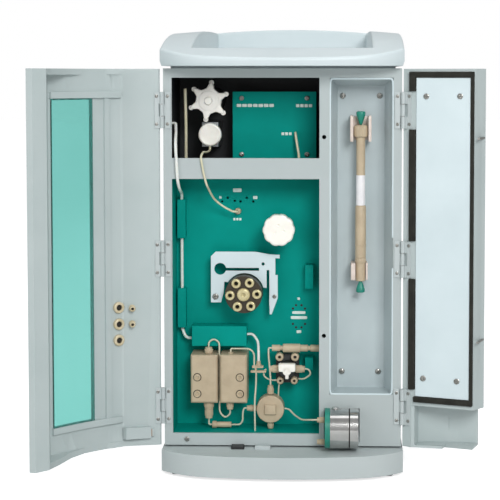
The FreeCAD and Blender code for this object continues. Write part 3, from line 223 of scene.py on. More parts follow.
class Finishes(Enum):
    """The object's finishes, each named by what the real piece is made of, or by the shade painted into it.

    Real grains of under 0.4 mm would not show in the picture, so they are drawn at 0.4 mm or more.
    """

    # Powder-coated sheet steel: an even satin blue-grey with a fine orange peel.
    CABINET_PAINT = Finish("powder_coated_steel_grey", "grey_housing", "#b9c2c2", "#b5bebf",
                           Texture.PAINTED, 0.5, patch=70, grain=1.6, depth=0.03)
    # The cabinet's own coat on the front frame, a shade deeper as painted shade for the shadows that fall on it under
    # the cap and beside the recess.
    SHADED_FRAME_PAINT = Finish("powder_coated_grey_painted_shade", "grey_housing", "#b0b9ba", "#acb6b6", Texture.PAINTED,
                         0.5, patch=70, grain=1.6, depth=0.03)
    # Lacquered polyurethane moulding: a shade deeper and a little glossier than the steel.
    DOOR_SKIN = Finish("lacquered_moulding_grey", "grey_housing", "#b4bfbf", "#aebaba", Texture.PAINTED,
                       0.46, patch=55, grain=1.2, depth=0.03)
    # The cap's moulding is paler and a little bluer.
    CAP_SKIN = Finish("lacquered_moulding_pale", "pale_tray", "#cfdadd", "#c9d5d8", Texture.PAINTED, 0.42,
                      patch=60, grain=1.2, depth=0.025)
    # Pale powder-coated sheet: smoother than the cabinet and nearly white.
    PALE_SHEET = Finish("powder_coated_sheet_pale", "pale_sheet", "#d3e1e5", "#c9d8dc", Texture.PAINTED,
                        0.4, patch=80, grain=1.4, depth=0.02)
    # The recess's coat: the cabinet's blue-grey with a little more gloss.
    RECESS_PAINT = Finish("powder_coated_recess_grey", "grey_housing", "#bac6c8", "#b0bcbf",
                          Texture.PAINTED, 0.46, patch=60, grain=1.4, depth=0.025)
    # Teal enamel of the wet end: saturated and satin. The low index keeps its colour deep, without sheen.
    TEAL_ENAMEL = Finish("baked_enamel_teal", "teal_panel", "#00958a", "#008c81", Texture.PAINTED, 0.5,
                         patch=45, grain=1.4, depth=0.025, ior=1.15)
    # Moulded ABS liner: black, dull, with a grain that only breaks the highlights.
    BLACK_MOULDING = Finish("moulded_abs_black", "black_liner", "#0a1014", "#11181c", Texture.MOULDED,
                            0.55, patch=25, grain=0.8, depth=0.04)
    # Glass-filled nylon: dark grey with paler flecks.
    BLACK_NYLON = Finish("moulded_nylon_black", "black_plastic", "#1b1d1e", "#242627", Texture.MOULDED,
                         0.5, patch=18, grain=0.6, depth=0.03, speck=0.4)
    # Foam rubber seal: matt black, coarse cells.
    SEAL_RUBBER = Finish("cellular_rubber_black", "rubber_black", "#15150f", "#24241d", Texture.MOULDED,
                         0.85, patch=12, grain=1.1, depth=0.12, speck=0.5)
    # Unfilled PEEK bar, turned or milled: warm tan, faintly see-through at its edges.
    PEEK = Finish("machined_peek_tan", "peek_tan", "#c0b095", "#b2a187", Texture.TURNED, 0.42, patch=14,
                  grain=0.5, depth=0.02, glow=0.06, streak=(1, 1, 5), speck=0.15)
    # Drawn capillary tube: paler than the bar, as light enters it.
    PEEK_TUBE = Finish("drawn_peek_tube_pale", "peek_tan", "#cdc9b4", "#c1bda7", Texture.SMOOTH, 0.3,
                       patch=20, grain=2.5, depth=0.01, glow=0.08)
    # Turned acetal: clean white with a soft sheen.
    WHITE_ACETAL = Finish("turned_acetal_white", "white_plastic", "#f8f6ee", "#f0ede4", Texture.TURNED,
                          0.34, patch=10, grain=0.6, depth=0.012, glow=0.08)
    # Drawn PTFE: milky white, light travels in it.
    PTFE_HOSE = Finish("drawn_ptfe_hose_white", "white_plastic", "#e9ebe6", "#dfe2dc", Texture.SMOOTH,
                       0.28, patch=15, grain=3.0, depth=0.01, glow=0.1)
    # Silicone hose: warm cream, light travels in it.
    CREAM_HOSE = Finish("drawn_silicone_hose_cream", "cream_tube", "#ddd8bd", "#cfcaab", Texture.SMOOTH,
                        0.35, patch=15, grain=3.0, depth=0.01, glow=0.1)
    # Bright turned stainless steel with rings round the can.
    BRIGHT_STEEL = Finish("turned_stainless_steel", "steel", "#cfcfcd", "#bcbcba", Texture.BRUSHED, 0.16,
                          patch=20, rough_swing=0.05, grain=0.5, depth=0.004, metallic=1.0,
                          streak=(14, 1, 1))
    # Zinc-plated screws: dull grey metal with fine scratches.
    SCREW_STEEL = Finish("zinc_plated_screw_steel", "steel", "#a8a8a4", "#8d8d88", Texture.BRUSHED, 0.32,
                         patch=3, grain=0.4, depth=0.01, metallic=1.0)
    # Zinc-plated sheet: grey metal, brushed up and down.
    ZINC_SHEET = Finish("zinc_plated_sheet", "zinc", "#9fa3a4", "#8a8e90", Texture.BRUSHED, 0.36, patch=22,
                        grain=0.9, depth=0.01, metallic=1.0, streak=(1, 1, 9))
    # Cast acrylic: glossy, clear and tinted teal.
    TEAL_ACRYLIC = Finish("cast_acrylic_teal", "teal_glass", "#7cc8c0", "#78c4bb", Texture.SMOOTH, 0.06,
                          patch=120, rough_swing=0.02, grain=30, depth=0.004, ior=1.49, clear=0.96)
    # Moulded polypropylene: waxy mid green.
    GREEN_PLUG = Finish("moulded_polypropylene_green", "green_plug", "#1f8a78", "#187c6b", Texture.MOULDED,
                        0.35, patch=8, grain=0.6, depth=0.02, glow=0.08)
    # Dark hard-anodised stator with a brown cast.
    VALVE_DARK = Finish("anodised_aluminium_umber", "dark_valve", "#2b2417", "#3a3120", Texture.TURNED,
                        0.4, patch=6, grain=0.5, depth=0.02, speck=0.3)
    # Gilt ports: pale yellow nickel-plated brass.
    VALVE_GILT = Finish("plated_brass_pale", "brass_cream", "#d9cfa6", "#c6b98a", Texture.TURNED, 0.3,
                        patch=5, grain=0.4, depth=0.01, metallic=0.35)
    # Turned brass with a cream plating and a faint metal sheen.
    PORT_BRASS = Finish("turned_brass_cream", "brass_cream", "#d8ccb2", "#c7b892", Texture.TURNED, 0.36,
                        patch=5, grain=0.5, depth=0.012, metallic=0.2)
    # Moulded acetal with a blush of pink.
    CLIP_ACETAL = Finish("moulded_acetal_blush", "pale_sheet", "#dccfc6", "#cfc0b6", Texture.MOULDED, 0.4,
                         patch=8, grain=0.6, depth=0.02, glow=0.08)
    # Screen-printed ink: off-white and flat.
    PRINT_WHITE = Finish("screen_ink_white", "white_plastic", "#e4efe9", "#d5e2db", Texture.PAINTED, 0.5,
                         patch=4, grain=0.5, depth=0.01)
    # Label film: white and slightly glossy.
    LABEL_PAPER = Finish("label_film_white", "white_plastic", "#efeeee", "#e2e1e4", Texture.SMOOTH, 0.42,
                         patch=9, grain=2, depth=0.01)
    # Painted shade: near-black discs and rings put in deep bores, counterbores, pinholes and a groove, where hardly any
    # light comes.
    BORE_SHADE = Finish("deep_bore_shade", "dark_valve", "#120f0a", "#1b1710", Texture.TURNED, 0.6,
                        patch=3, grain=0.4)
    # Moulded nylon: pale brown, dull.
    CATCH_BROWN = Finish("moulded_nylon_brown", "peek_tan", "#a88a72", "#967a63", Texture.MOULDED, 0.45,
                         patch=5, grain=0.6, depth=0.02)

    def put_on(self, thing: bpy.types.Object) -> None:
        """Gives every material slot of a piece this finish.

        Args:
            thing: the piece.
        """
        material = self.value.material()
        if not thing.data.materials:
            thing.data.materials.append(material)
        for slot in thing.material_slots:
            slot.material = material


class Cabinet:
    """Reads where cabinet coordinates lie in the frame, so that the scene follows the solids."""

    low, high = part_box("front_frame")
    zero = np.array([(low[0] + high[0]) * 500, low[1] * 1000, 0.0])

    @classmethod
    def metres(cls, points: np.ndarray) -> np.ndarray:
        """Cabinet coordinates in millimetres as frame coordinates in metres."""
        return (np.asarray(points, float) + cls.zero) / 1000


@dataclass(frozen=True)
class Place:
    """A small set of axes that a turned piece is drawn in: its own Z is the piece's axis."""

    origin: tuple[float, float, float]
    axis: tuple[float, float, float] = (0.0, -1.0, 0.0)
    turn: float = 0.0

    def out(self, corners: np.ndarray) -> np.ndarray:
        """Carries local corners to cabinet coordinates.

        The axis becomes local Z. Local X is the level line square to it, turned about it by turn degrees.

        Args:
            corners: points in the place's own axes, in millimetres.

        Returns:
            The points in cabinet coordinates, in millimetres.
        """
        up = np.array(self.axis, float)
        up /= np.linalg.norm(up)
        hint = np.array([0.0, 0.0, 1.0]) if abs(up[2]) < 0.9 else np.array([0.0, -1.0, 0.0])
        across = np.cross(hint, up)
        across /= np.linalg.norm(across)
        rise = np.cross(up, across)
        bend = math.radians(self.turn)
        first = across * math.cos(bend) + rise * math.sin(bend)
        second = -across * math.sin(bend) + rise * math.cos(bend)
        return np.array(self.origin) + corners @ np.stack([first, second, up])


@dataclass
class Skin:
    """A closed surface in arrays: corners in millimetres and faces as rows of corner numbers."""

    corners: np.ndarray
    quads: np.ndarray
    fans: np.ndarray = field(default_factory=lambda: np.zeros((0, 3), int))

    def at(self, place: Place) -> "Skin":
        """The same surface, carried to its place."""
        return Skin(place.out(self.corners), self.quads, self.fans)


def ring_grid(rows: int, around: int) -> tuple[np.ndarray, np.ndarray]:
    """Faces of a tube-like grid that closes round and ends in one point at each end.

    Corner 0 is the first pole, then come rows times around corners, then the last pole.

    Args:
        rows: rings between the poles.
        around: corners in each ring.

    Returns:
        The four-cornered faces and the three-cornered faces at the poles.
    """
    row, step = np.meshgrid(np.arange(rows - 1), np.arange(around), indexing="ij")
    after = (step + 1) % around
    first, second = 1 + row * around + step, 1 + row * around + after
    quads = np.stack([first, second, second + around, first + around], -1).reshape(-1, 4)
    turn = np.arange(around)
    following = (turn + 1) % around
    last = 1 + (rows - 1) * around
    foot = np.stack([np.zeros(around, int), 1 + following, 1 + turn], -1)
    head = np.stack([np.full(around, last + around), last + turn, last + following], -1)
    return quads, np.concatenate([foot, head])


def round_outline(angle: np.ndarray) -> tuple[np.ndarray, np.ndarray]:
    """A circle: cosine across, sine up."""
    return np.cos(angle), np.sin(angle)


def lobed_outline(lobes: int, share: float) -> Outline:
    """A circle whose radius swells and sinks.

    Radius = 1 - share + share times the absolute cosine of half of lobes times the angle.

    Args:
        lobes: how many swellings there are round the outline.
        share: how much of the radius they take.

    Returns:
        The outline as a function of the angle.
    """
    def shape(angle: np.ndarray) -> tuple[np.ndarray, np.ndarray]:
        """The lobed circle at these angles."""
        radius = 1 - share + share * np.abs(np.cos(lobes * angle / 2))
        return radius * np.cos(angle), radius * np.sin(angle)

    return shape


def star_outline(arms: int, reach: float, width: float, turn: float) -> Outline:
    """A circle with tapered arms.

    Radius = 1 + (reach - 1) times e to the minus square of (angle from the nearest arm over width).

    Args:
        arms: how many arms there are.
        reach: the arms' reach over the circle's radius.
        width: the arms' half width, in radians.
        turn: where the first arm points, in degrees.

    Returns:
        The outline as a function of the angle.
    """
    def shape(angle: np.ndarray) -> tuple[np.ndarray, np.ndarray]:
        """The star at these angles.

        Args:
            angle: angles round the outline, in radians.

        Returns:
            Across and up at each angle.
        """
        step = 2 * math.pi / arms
        away = (angle - math.radians(turn) + step / 2) % step - step / 2
        radius = 1 + (reach - 1) * np.exp(-(away / width) ** 2)
        return radius * np.cos(angle), radius * np.sin(angle)

    return shape


def box_outline(aspect: float, power: float = 7.0) -> Outline:
    """A rectangle with round corners, as a superellipse.

    Across = sign of cosine times its size to the power 2 over power; up is the same with sine, times aspect.

    Args:
        aspect: height over width.
        power: how square it is; 2 is an ellipse.

    Returns:
        The outline as a function of the angle.
    """
    def shape(angle: np.ndarray) -> tuple[np.ndarray, np.ndarray]:
        """The superellipse at these angles.

        Args:
            angle: angles round the outline, in radians.

        Returns:
            Across and up at each angle.
        """
        across, rise = np.cos(angle), np.sin(angle)
        return (np.sign(across) * np.abs(across) ** (2 / power),
                aspect * np.sign(rise) * np.abs(rise) ** (2 / power))

    return shape


def turned(profile: Sequence[tuple[float, float]], around: int = 48, outline: Outline = round_outline,
           dent: Dent | None = None) -> Skin:
    """A profile carried round an outline.

    Corner = (radius times outline across, radius times outline up, height - dent there). The first
    and last profile points lie on the axis and become single poles.

    Args:
        profile: radius and height pairs from pole to pole, in millimetres.
        around: corners round the outline.
        outline: the outline at radius one.
        dent: how deep the surface sinks at a place across the axis.

    Returns:
        The closed surface in its own axes.
    """
    rings = np.array(profile, float)
    angle = np.linspace(0, 2 * math.pi, around, endpoint=False)
    across, rise = outline(angle)
    inner = rings[1:-1]
    grid = np.stack([inner[:, 0, None] * across, inner[:, 0, None] * rise,
                     np.broadcast_to(inner[:, 1, None], (len(inner), around))], -1).reshape(-1, 3)
    corners = np.concatenate([[[0, 0, rings[0, 1]]], grid, [[0, 0, rings[-1, 1]]]])
    if dent is not None:
        corners[:, 2] -= dent(corners[:, 0], corners[:, 1]) * (corners[:, 2] > rings[:, 1].mean())
    quads, fans = ring_grid(len(inner), around)
    return Skin(corners, quads, fans)


def swept(path: np.ndarray, radius: float, around: int = 16) -> Skin:
    """A round tube along a smooth path.

    Corner = path point + radius times (cosine times side + sine times up), where side is square to
    the path's heading and to a fixed hint, and up is square to both.

    Args:
        path: points along the tube's middle, in millimetres.
        radius: the tube's radius.
        around: corners in each ring.

    Returns:
        The closed surface in the path's own coordinates.
    """
    heading = np.gradient(path, axis=0)
    heading /= np.linalg.norm(heading, axis=1, keepdims=True)
    hint = np.array([0.31, 0.17, 0.93])
    side = np.cross(heading, hint)
    side /= np.linalg.norm(side, axis=1, keepdims=True)
    up = np.cross(heading, side)
    angle = np.linspace(0, 2 * math.pi, around, endpoint=False)
    rings = path[:, None] + radius * (np.cos(angle)[None, :, None] * side[:, None]
                                      + np.sin(angle)[None, :, None] * up[:, None])
    corners = np.concatenate([path[:1], rings.reshape(-1, 3), path[-1:]])
    quads, fans = ring_grid(len(path), around)
    return Skin(corners, quads, fans)


def smooth_line(stops: Sequence[tuple[float, float, float]], steps: int = 10) -> np.ndarray:
    """A smooth line through stops.

    Point = the Catmull-Rom blend of the four stops about it, with the ends repeated.

    Args:
        stops: the points that the line passes through.
        steps: points on each stretch.

    Returns:
        The line's points.
    """
    given = np.array(stops, float)
    ends = np.concatenate([2 * given[:1] - given[1:2], given, 2 * given[-1:] - given[-2:-1]])
    share = np.linspace(0, 1, steps, endpoint=False)[None, :, None]
    before, start, end, after = (ends[k:len(ends) - 3 + k, None] for k in range(4))
    line = 0.5 * (2 * start + (end - before) * share + (2 * before - 5 * start + 4 * end - after) * share ** 2
                  + (3 * start - before - 3 * end + after) * share ** 3)
    return np.concatenate([line.reshape(-1, 3), given[-1:]])


def joined_mesh(name: str, skins: Sequence[Skin]) -> bpy.types.Mesh:
    """Joins surfaces in one mesh, with its faces pointing out and its hard edges sharp.

    Args:
        name: the mesh's name.
        skins: surfaces in cabinet coordinates.

    Returns:
        The new mesh.
    """
    starts = np.cumsum([0] + [len(skin.corners) for skin in skins[:-1]])
    corners = Cabinet.metres(np.concatenate([skin.corners for skin in skins]))
    quads = np.concatenate([skin.quads + start for skin, start in zip(skins, starts)])
    fans = np.concatenate([skin.fans + start for skin, start in zip(skins, starts)])
    mesh = bpy.data.meshes.new(name)
    mesh.vertices.add(len(corners))
    mesh.vertices.foreach_set("co", corners.ravel().astype(np.float32))
    loops = np.concatenate([quads.ravel(), fans.ravel()])
    mesh.loops.add(len(loops))
    mesh.loops.foreach_set("vertex_index", loops.astype(np.int32))
    sizes = np.concatenate([np.full(len(quads), 4), np.full(len(fans), 3)])
    mesh.polygons.add(len(sizes))
    mesh.polygons.foreach_set("loop_start", np.concatenate([[0], np.cumsum(sizes)[:-1]]).astype(np.int32))
    mesh.update(calc_edges=True)
    mesh.validate()
    shape = bmesh.new()
    shape.from_mesh(mesh)
    bmesh.ops.recalc_face_normals(shape, faces=shape.faces)
    shape.to_mesh(mesh)
    shape.free()
    mesh.polygons.foreach_set("use_smooth", np.ones(len(sizes), bool))
    mesh.set_sharp_from_angle(angle=math.radians(DRAWN_SHARP))
    return mesh


def merged_copy(node: str, sharp: float) -> bpy.types.Mesh:
    """Copies a CAD node's mesh with its corners merged and its flat triangles joined.

    Args:
        node: the CAD node.
        sharp: edges flatter than this many degrees are shaded smooth.

    Returns:
        The new mesh.
    """
    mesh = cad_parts[node].data.copy()
    mesh.name = node + "_softened"
    shape = bmesh.new()
    shape.from_mesh(mesh)
    bmesh.ops.remove_doubles(shape, verts=shape.verts, dist=MERGE_REACH)
    bmesh.ops.dissolve_limit(shape, angle_limit=math.radians(FLAT_LIMIT), verts=shape.verts,
                             edges=shape.edges, delimit={"NORMAL"})
    shape.to_mesh(mesh)
    shape.free()
    mesh.materials.clear()
    mesh.polygons.foreach_set("use_smooth", np.ones(len(mesh.polygons), bool))
    mesh.set_sharp_from_angle(angle=math.radians(sharp))
    return mesh


@dataclass
class Assembly:
    """A sub-assembly, with the names of the pieces that it has made or dressed."""

    pieces: list[str] = field(default_factory=list, init=False)

    def build(self) -> None:
        """Makes and dresses the pieces."""
        raise NotImplementedError

    def settle(self, mesh: bpy.types.Mesh, finish: Finishes, body: Body, stands_for: Sequence[str]) -> bpy.types.Object:
        """Makes a piece of a mesh, dresses it and lets it ride on its body.

        Args:
            mesh: the mesh, which has the piece's name.
            finish: the piece's finish.
            body: the body that it rides on.
            stands_for: CAD nodes that it stands for.

        Returns:
            The new object.
        """
        piece = bpy.data.objects.new(mesh.name, mesh)
        bpy.context.scene.collection.objects.link(piece)
        finish.put_on(piece)
        if stands_for:
            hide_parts(*stands_for)
        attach(piece, body.value)
        self.pieces.append(piece.name)
        return piece

    def draw(self, name: str, skins: Sequence[Skin], finish: Finishes, body: Body,
             stands_for: Sequence[str] = (), slot: str | None = None) -> None:
        """Draws a piece anew from closed surfaces.

        Args:
            name: the piece's name.
            skins: surfaces in cabinet coordinates.
            finish: its finish.
            body: the body that it rides on.
            stands_for: CAD nodes that it stands for.
            slot: meant as the record's material slot, where it isn't the finish's own; it is not used.
        """
        self.settle(joined_mesh(name, skins), finish, body, stands_for)

    def soften(self, node: str, width: float, finish: Finishes, body: Body, segments: int = 3,
               angle: float = 32.0) -> None:
        """Stands a copy of a CAD node in its place, with its edges rounded.

        Args:
            node: the CAD node.
            width: how far the rounding reaches from each edge, in millimetres.
            finish: its finish.
            body: the body that it rides on.
            segments: faces across each rounding.
            angle: edges flatter than this many degrees stay as they are.
        """
        piece = self.settle(merged_copy(node, angle), finish, body, [node])
        rounding = piece.modifiers.new("rounded_edges", "BEVEL")
        rounding.width = width / 1000
        rounding.segments = segments
        rounding.limit_method = "ANGLE"
        rounding.angle_limit = math.radians(angle)
        rounding.use_clamp_overlap = True
        rounding.harden_normals = True

    def dress(self, finish: Finishes, *nodes: str) -> None:
        """Puts a finish on CAD nodes that keep their own meshes.

        Args:
            finish: the finish.
            nodes: the CAD nodes.
        """
        for node in nodes:
            finish.put_on(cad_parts[node])
            self.pieces.append(node)


@dataclass
class Screw:
    """A pan-head machine screw with a cross recess. The head stands on its seat.

    Attributes:
        radius: the head's radius.
        height: the dome's height in the middle.
        slot_half: half of the width of a bar of the cross.
        slot_reach: how far a bar reaches from the middle.
        slot_depth: depth of the cross.
    """

    radius: float = 2.6
    height: float = 1.5
    slot_half: float = 0.32
    slot_reach: float = 1.6
    slot_depth: float = 0.8

    def skin(self, place: Place) -> Skin:
        """The head at a place.

        Height = height times the root of (1 - 0.75 times the squared share of the radius); the cross
        sinks where either distance from a bar's middle line is below its half width.

        Args:
            place: the middle of the seat and the way the head faces.

        Returns:
            The closed surface.
        """
        def cross(across: np.ndarray, rise: np.ndarray) -> np.ndarray:
            """Gives the depth of the cross recess, with a smooth step at its walls and at its ends.

            Args:
                across: places across the head, from its axis.
                rise: places up the head, from its axis.

            Returns:
                How deep the head sinks at each place.
            """
            thin = np.minimum(np.abs(across), np.abs(rise))
            far = np.maximum(np.abs(across), np.abs(rise))
            wall = 1 / (1 + np.exp((thin - self.slot_half) / 0.05))
            end = 1 / (1 + np.exp((far - self.slot_reach) / 0.08))
            return self.slot_depth * wall * end

        share = np.linspace(1, 0, 20)
        dome = self.height * np.sqrt(1 - 0.75 * share ** 2)
        profile = [(0, -0.5), (self.radius * 0.9, -0.5), (self.radius, -0.4), (self.radius, dome[0] * 0.8)]
        profile += [(self.radius * part, rise) for part, rise in zip(share * 0.985, dome)]
        return turned(profile, 72, dent=cross).at(place)


@dataclass
class Ferrule:
    """A finger-tight nut: a knurled grip with chamfered ends and a plain collar.

    Attributes:
        radius: the grip's radius.
        length: length of grip and collar.
        ribs: ribs round the grip.
        share: height of the ribs, as a share of the radius.
    """

    radius: float
    length: float
    ribs: int = 14
    share: float = 0.1

    def skins(self, place: Place) -> list[Skin]:
        """The grip and its plain collar at a place.

        Radius of the grip = its radius times the lobed outline, over a profile with chamfered ends.

        Args:
            place: the middle of the near end, and the way to the far end.

        Returns:
            Two closed surfaces.
        """
        size, long = self.radius, self.length
        grip = [(0, 0), (size * 0.72, 0), (size * 0.95, 0.35), (size, 0.8), (size, long * 0.72 - 0.7),
                (size * 0.93, long * 0.72), (0, long * 0.72)]
        collar = [(0, long * 0.6), (size * 0.84, long * 0.6), (size * 0.84, long - 0.35),
                  (size * 0.74, long), (0, long)]
        return [turned(grip, self.ribs * 8, lobed_outline(self.ribs, self.share)).at(place),
                turned(collar, 40).at(place)]


def between(start: tuple[float, float, float], end: tuple[float, float, float]) -> tuple[Place, float]:
    """The place and length of a piece that runs from one point to another.

    Args:
        start: the middle of its near end.
        end: the middle of its far end.

    Returns:
        The place at the near end and the length, in millimetres.
    """
    reach = np.array(end, float) - np.array(start, float)
    length = float(np.linalg.norm(reach))
    return Place(start, tuple(reach / length)), length


@dataclass
class PrintedBar:
    """A row of short printed bars that stands for a caption, without any letter.

    Attributes:
        middle: place across and height of the row's middle.
        width: the row's width.
        height: the bars' height.
        depth: depth of the panel's face.
        dashes: how many bars there are.
        gap: the gap between two bars.
        film: how far the ink stands proud.
    """

    middle: tuple[float, float]
    width: float
    height: float
    depth: float
    dashes: int = 1
    gap: float = 0.9
    film: float = 0.12

    def skins(self) -> list[Skin]:
        """The row's bars, each a superellipse that stands a film's thickness proud.

        Returns:
            One closed surface for each bar.
        """
        long = (self.width - self.gap * (self.dashes - 1)) / self.dashes
        left = self.middle[0] - self.width / 2 + long / 2
        half = long / 2
        film = [(0, -0.3), (half, -0.3), (half, self.film * 0.7), (half * 0.96, self.film), (0, self.film)]
        bar = turned(film, 32, box_outline(self.height / long))
        return [bar.at(Place((left + turn * (long + self.gap), self.depth, self.middle[1])))
                for turn in range(self.dashes)]


@dataclass
class CapSurface:
    """The cap: a bowed block whose top rises from the front, with a sunk tray.

    Attributes:
        half: half of its width.
        back: depth of its back.
        foot: height of its foot.
        reach: how far the bowed front stands before the front plane.
        bow: radius of the bowed front.
        corner: radius of its corners.
        bend: where the bow runs into the corners.
        lip: height of the front edge over the foot.
        climb: how much higher the rim is behind than at the front edge.
        ease: depth over which most of that height is won.
        sag: how much the rim falls to either side.
        tray_half: half of the tray's width.
        tray_front: depth of the tray's front wall.
        tray_back: depth of its back wall.
        tray_floor: height of its floor.
        draft: how far a tray wall leans.
        edge: radius of the rounded edges.
    """

    half: float = 126.0
    back: float = 335.0
    foot: float = 426.0
    reach: float = 44.0
    bow: float = 480.0
    corner: float = 90.0
    bend: float = 75.0
    lip: float = 8.0
    climb: float = 38.9
    ease: float = 90.0
    sag: float = 8.0
    tray_half: float = 93.0
    tray_front: float = -8.0
    tray_back: float = 323.0
    tray_floor: float = 431.0
    draft: float = 1.2
    edge: float = 2.4

    def front(self, x: np.ndarray) -> np.ndarray:
        """Depth of the bowed front.

        Depth = the bow's middle less root(bow^2 - x^2) up to the bend, then the corner's middle less
        root(corner^2 - (x - its place)^2), where the corner's middle lies on the line from the bend
        to the bow's middle.

        Args:
            x: places across.

        Returns:
            The depths.
        """
        away = np.abs(x)
        middle = self.bow - self.reach
        share = 1 - self.corner / self.bow
        corner_middle = middle - share * math.sqrt(self.bow ** 2 - self.bend ** 2)
        bowed = middle - np.sqrt(self.bow ** 2 - np.minimum(away, self.bend) ** 2)
        turned_in = np.maximum(away, self.bend) - share * self.bend
        return np.where(away <= self.bend, bowed, corner_middle - np.sqrt(self.corner ** 2 - turned_in ** 2))

    def top(self, x: np.ndarray, y: np.ndarray) -> np.ndarray:
        """Height of the surface.

        Height = foot + lip + climb (1 - e^-((y + reach) / ease)^1.2) - sag (x / 130)^2 times the share of
        the way back from the tray's front, less the rounding r - root(r^2 - (r - d)^2) within r of an
        edge; inside the tray it is the tray's floor.

        Args:
            x: places across.
            y: places in depth.

        Returns:
            The heights.
        """
        rise = self.lip + self.climb * (1 - np.exp(-(np.maximum(y + self.reach, 0) / self.ease) ** 1.2))
        fall = self.sag * (x / 130) ** 2 * np.clip((y - self.tray_front) / 180, 0, 1)
        height = self.foot + rise - fall
        rim = np.minimum(np.minimum(self.half - np.abs(x), y - self.front(x)), self.back - y)
        wall = np.maximum(np.maximum(np.abs(x) - self.tray_half, self.tray_front - y), y - self.tray_back)
        for away in (rim, np.maximum(wall, 0) * 1.6):
            part = self.edge - np.clip(away, 0, self.edge)
            height = height - (self.edge - np.sqrt(self.edge ** 2 - part ** 2))
        return np.where(wall < -self.draft / 2, self.tray_floor, height)

    def skin(self) -> Skin:
        """The closed surface: a top sheet, a foot sheet with its rim drawn in, and the walls between.

        Corner = (x, y, top of x and y) over a grid that is finer near the edges; the foot's corners are
        the same, drawn in by about one part in a hundred.

        Returns:
            The surface.
        """
        fine = np.array([0.0, 0.15, 0.5, 1.0, 1.7, 2.4])
        side = np.concatenate([self.tray_half + fine[:5] * 0.6, np.linspace(97, 122, 9),
                               self.half - fine[::-1]])
        inner = np.linspace(-self.tray_half + self.draft, self.tray_half - self.draft, 61)
        across = np.concatenate([-side[::-1], inner, side])
        start = self.front(across)[:, None]
        near = self.edge + (self.tray_front - start - self.edge * 1.6) * np.linspace(0, 1, 12)[None, 1:]
        front_band = start + np.concatenate([np.broadcast_to(fine, (len(across), 6)), near,
                                             self.tray_front - start - fine[:4][::-1] * 0.6], axis=1)
        front_band = np.sort(front_band, axis=1)
        middle = np.linspace(self.tray_front + self.draft, self.tray_back - self.draft, 70)
        rear = np.concatenate([self.tray_back + fine[:5] * 0.6, [327, 330], self.back - fine[::-1]])
        count = len(across)
        depth = np.concatenate([front_band, np.broadcast_to(middle, (count, len(middle))),
                                np.broadcast_to(rear, (count, len(rear)))], axis=1)
        wide = np.broadcast_to(across[:, None], depth.shape)
        upper = np.stack([wide, depth, self.top(wide, depth)], -1)
        waist = np.stack([wide, depth, np.full_like(depth, self.foot + 5.0)], -1)
        lower = np.stack([wide * 0.987, 145 + (depth - 145) * 0.991, np.full_like(depth, self.foot)], -1)
        rows, columns = depth.shape
        number = np.arange(rows * columns).reshape(rows, columns)
        sheet = np.stack([number[:-1, :-1], number[1:, :-1], number[1:, 1:], number[:-1, 1:]], -1)
        sheet = sheet.reshape(-1, 4)
        rim = np.concatenate([number[:-1, 0], number[-1, :-1], number[:0:-1, -1], number[0, :0:-1]])
        following = np.roll(rim, -1)
        size = rows * columns
        loop = np.arange(len(rim))
        after = np.roll(loop, -1)
        belt = 2 * size
        walls = [np.stack([rim, following, belt + after, belt + loop], -1),
                 np.stack([belt + loop, belt + after, size + following, size + rim], -1)]
        corners = np.concatenate([upper.reshape(-1, 3), lower.reshape(-1, 3), waist.reshape(-1, 3)[rim]])
        return Skin(corners, np.concatenate([sheet, sheet + size] + walls))

    @staticmethod
    def plinth() -> Skin:
        """The step under the cap, a near-square superellipse."""
        step = [(0, 0), (118, 0), (118, 2.6), (0, 2.6)]
        return turned(step, 160, box_outline(1.339, 40.0)).at(Place((0, 164, 423.5), UP))


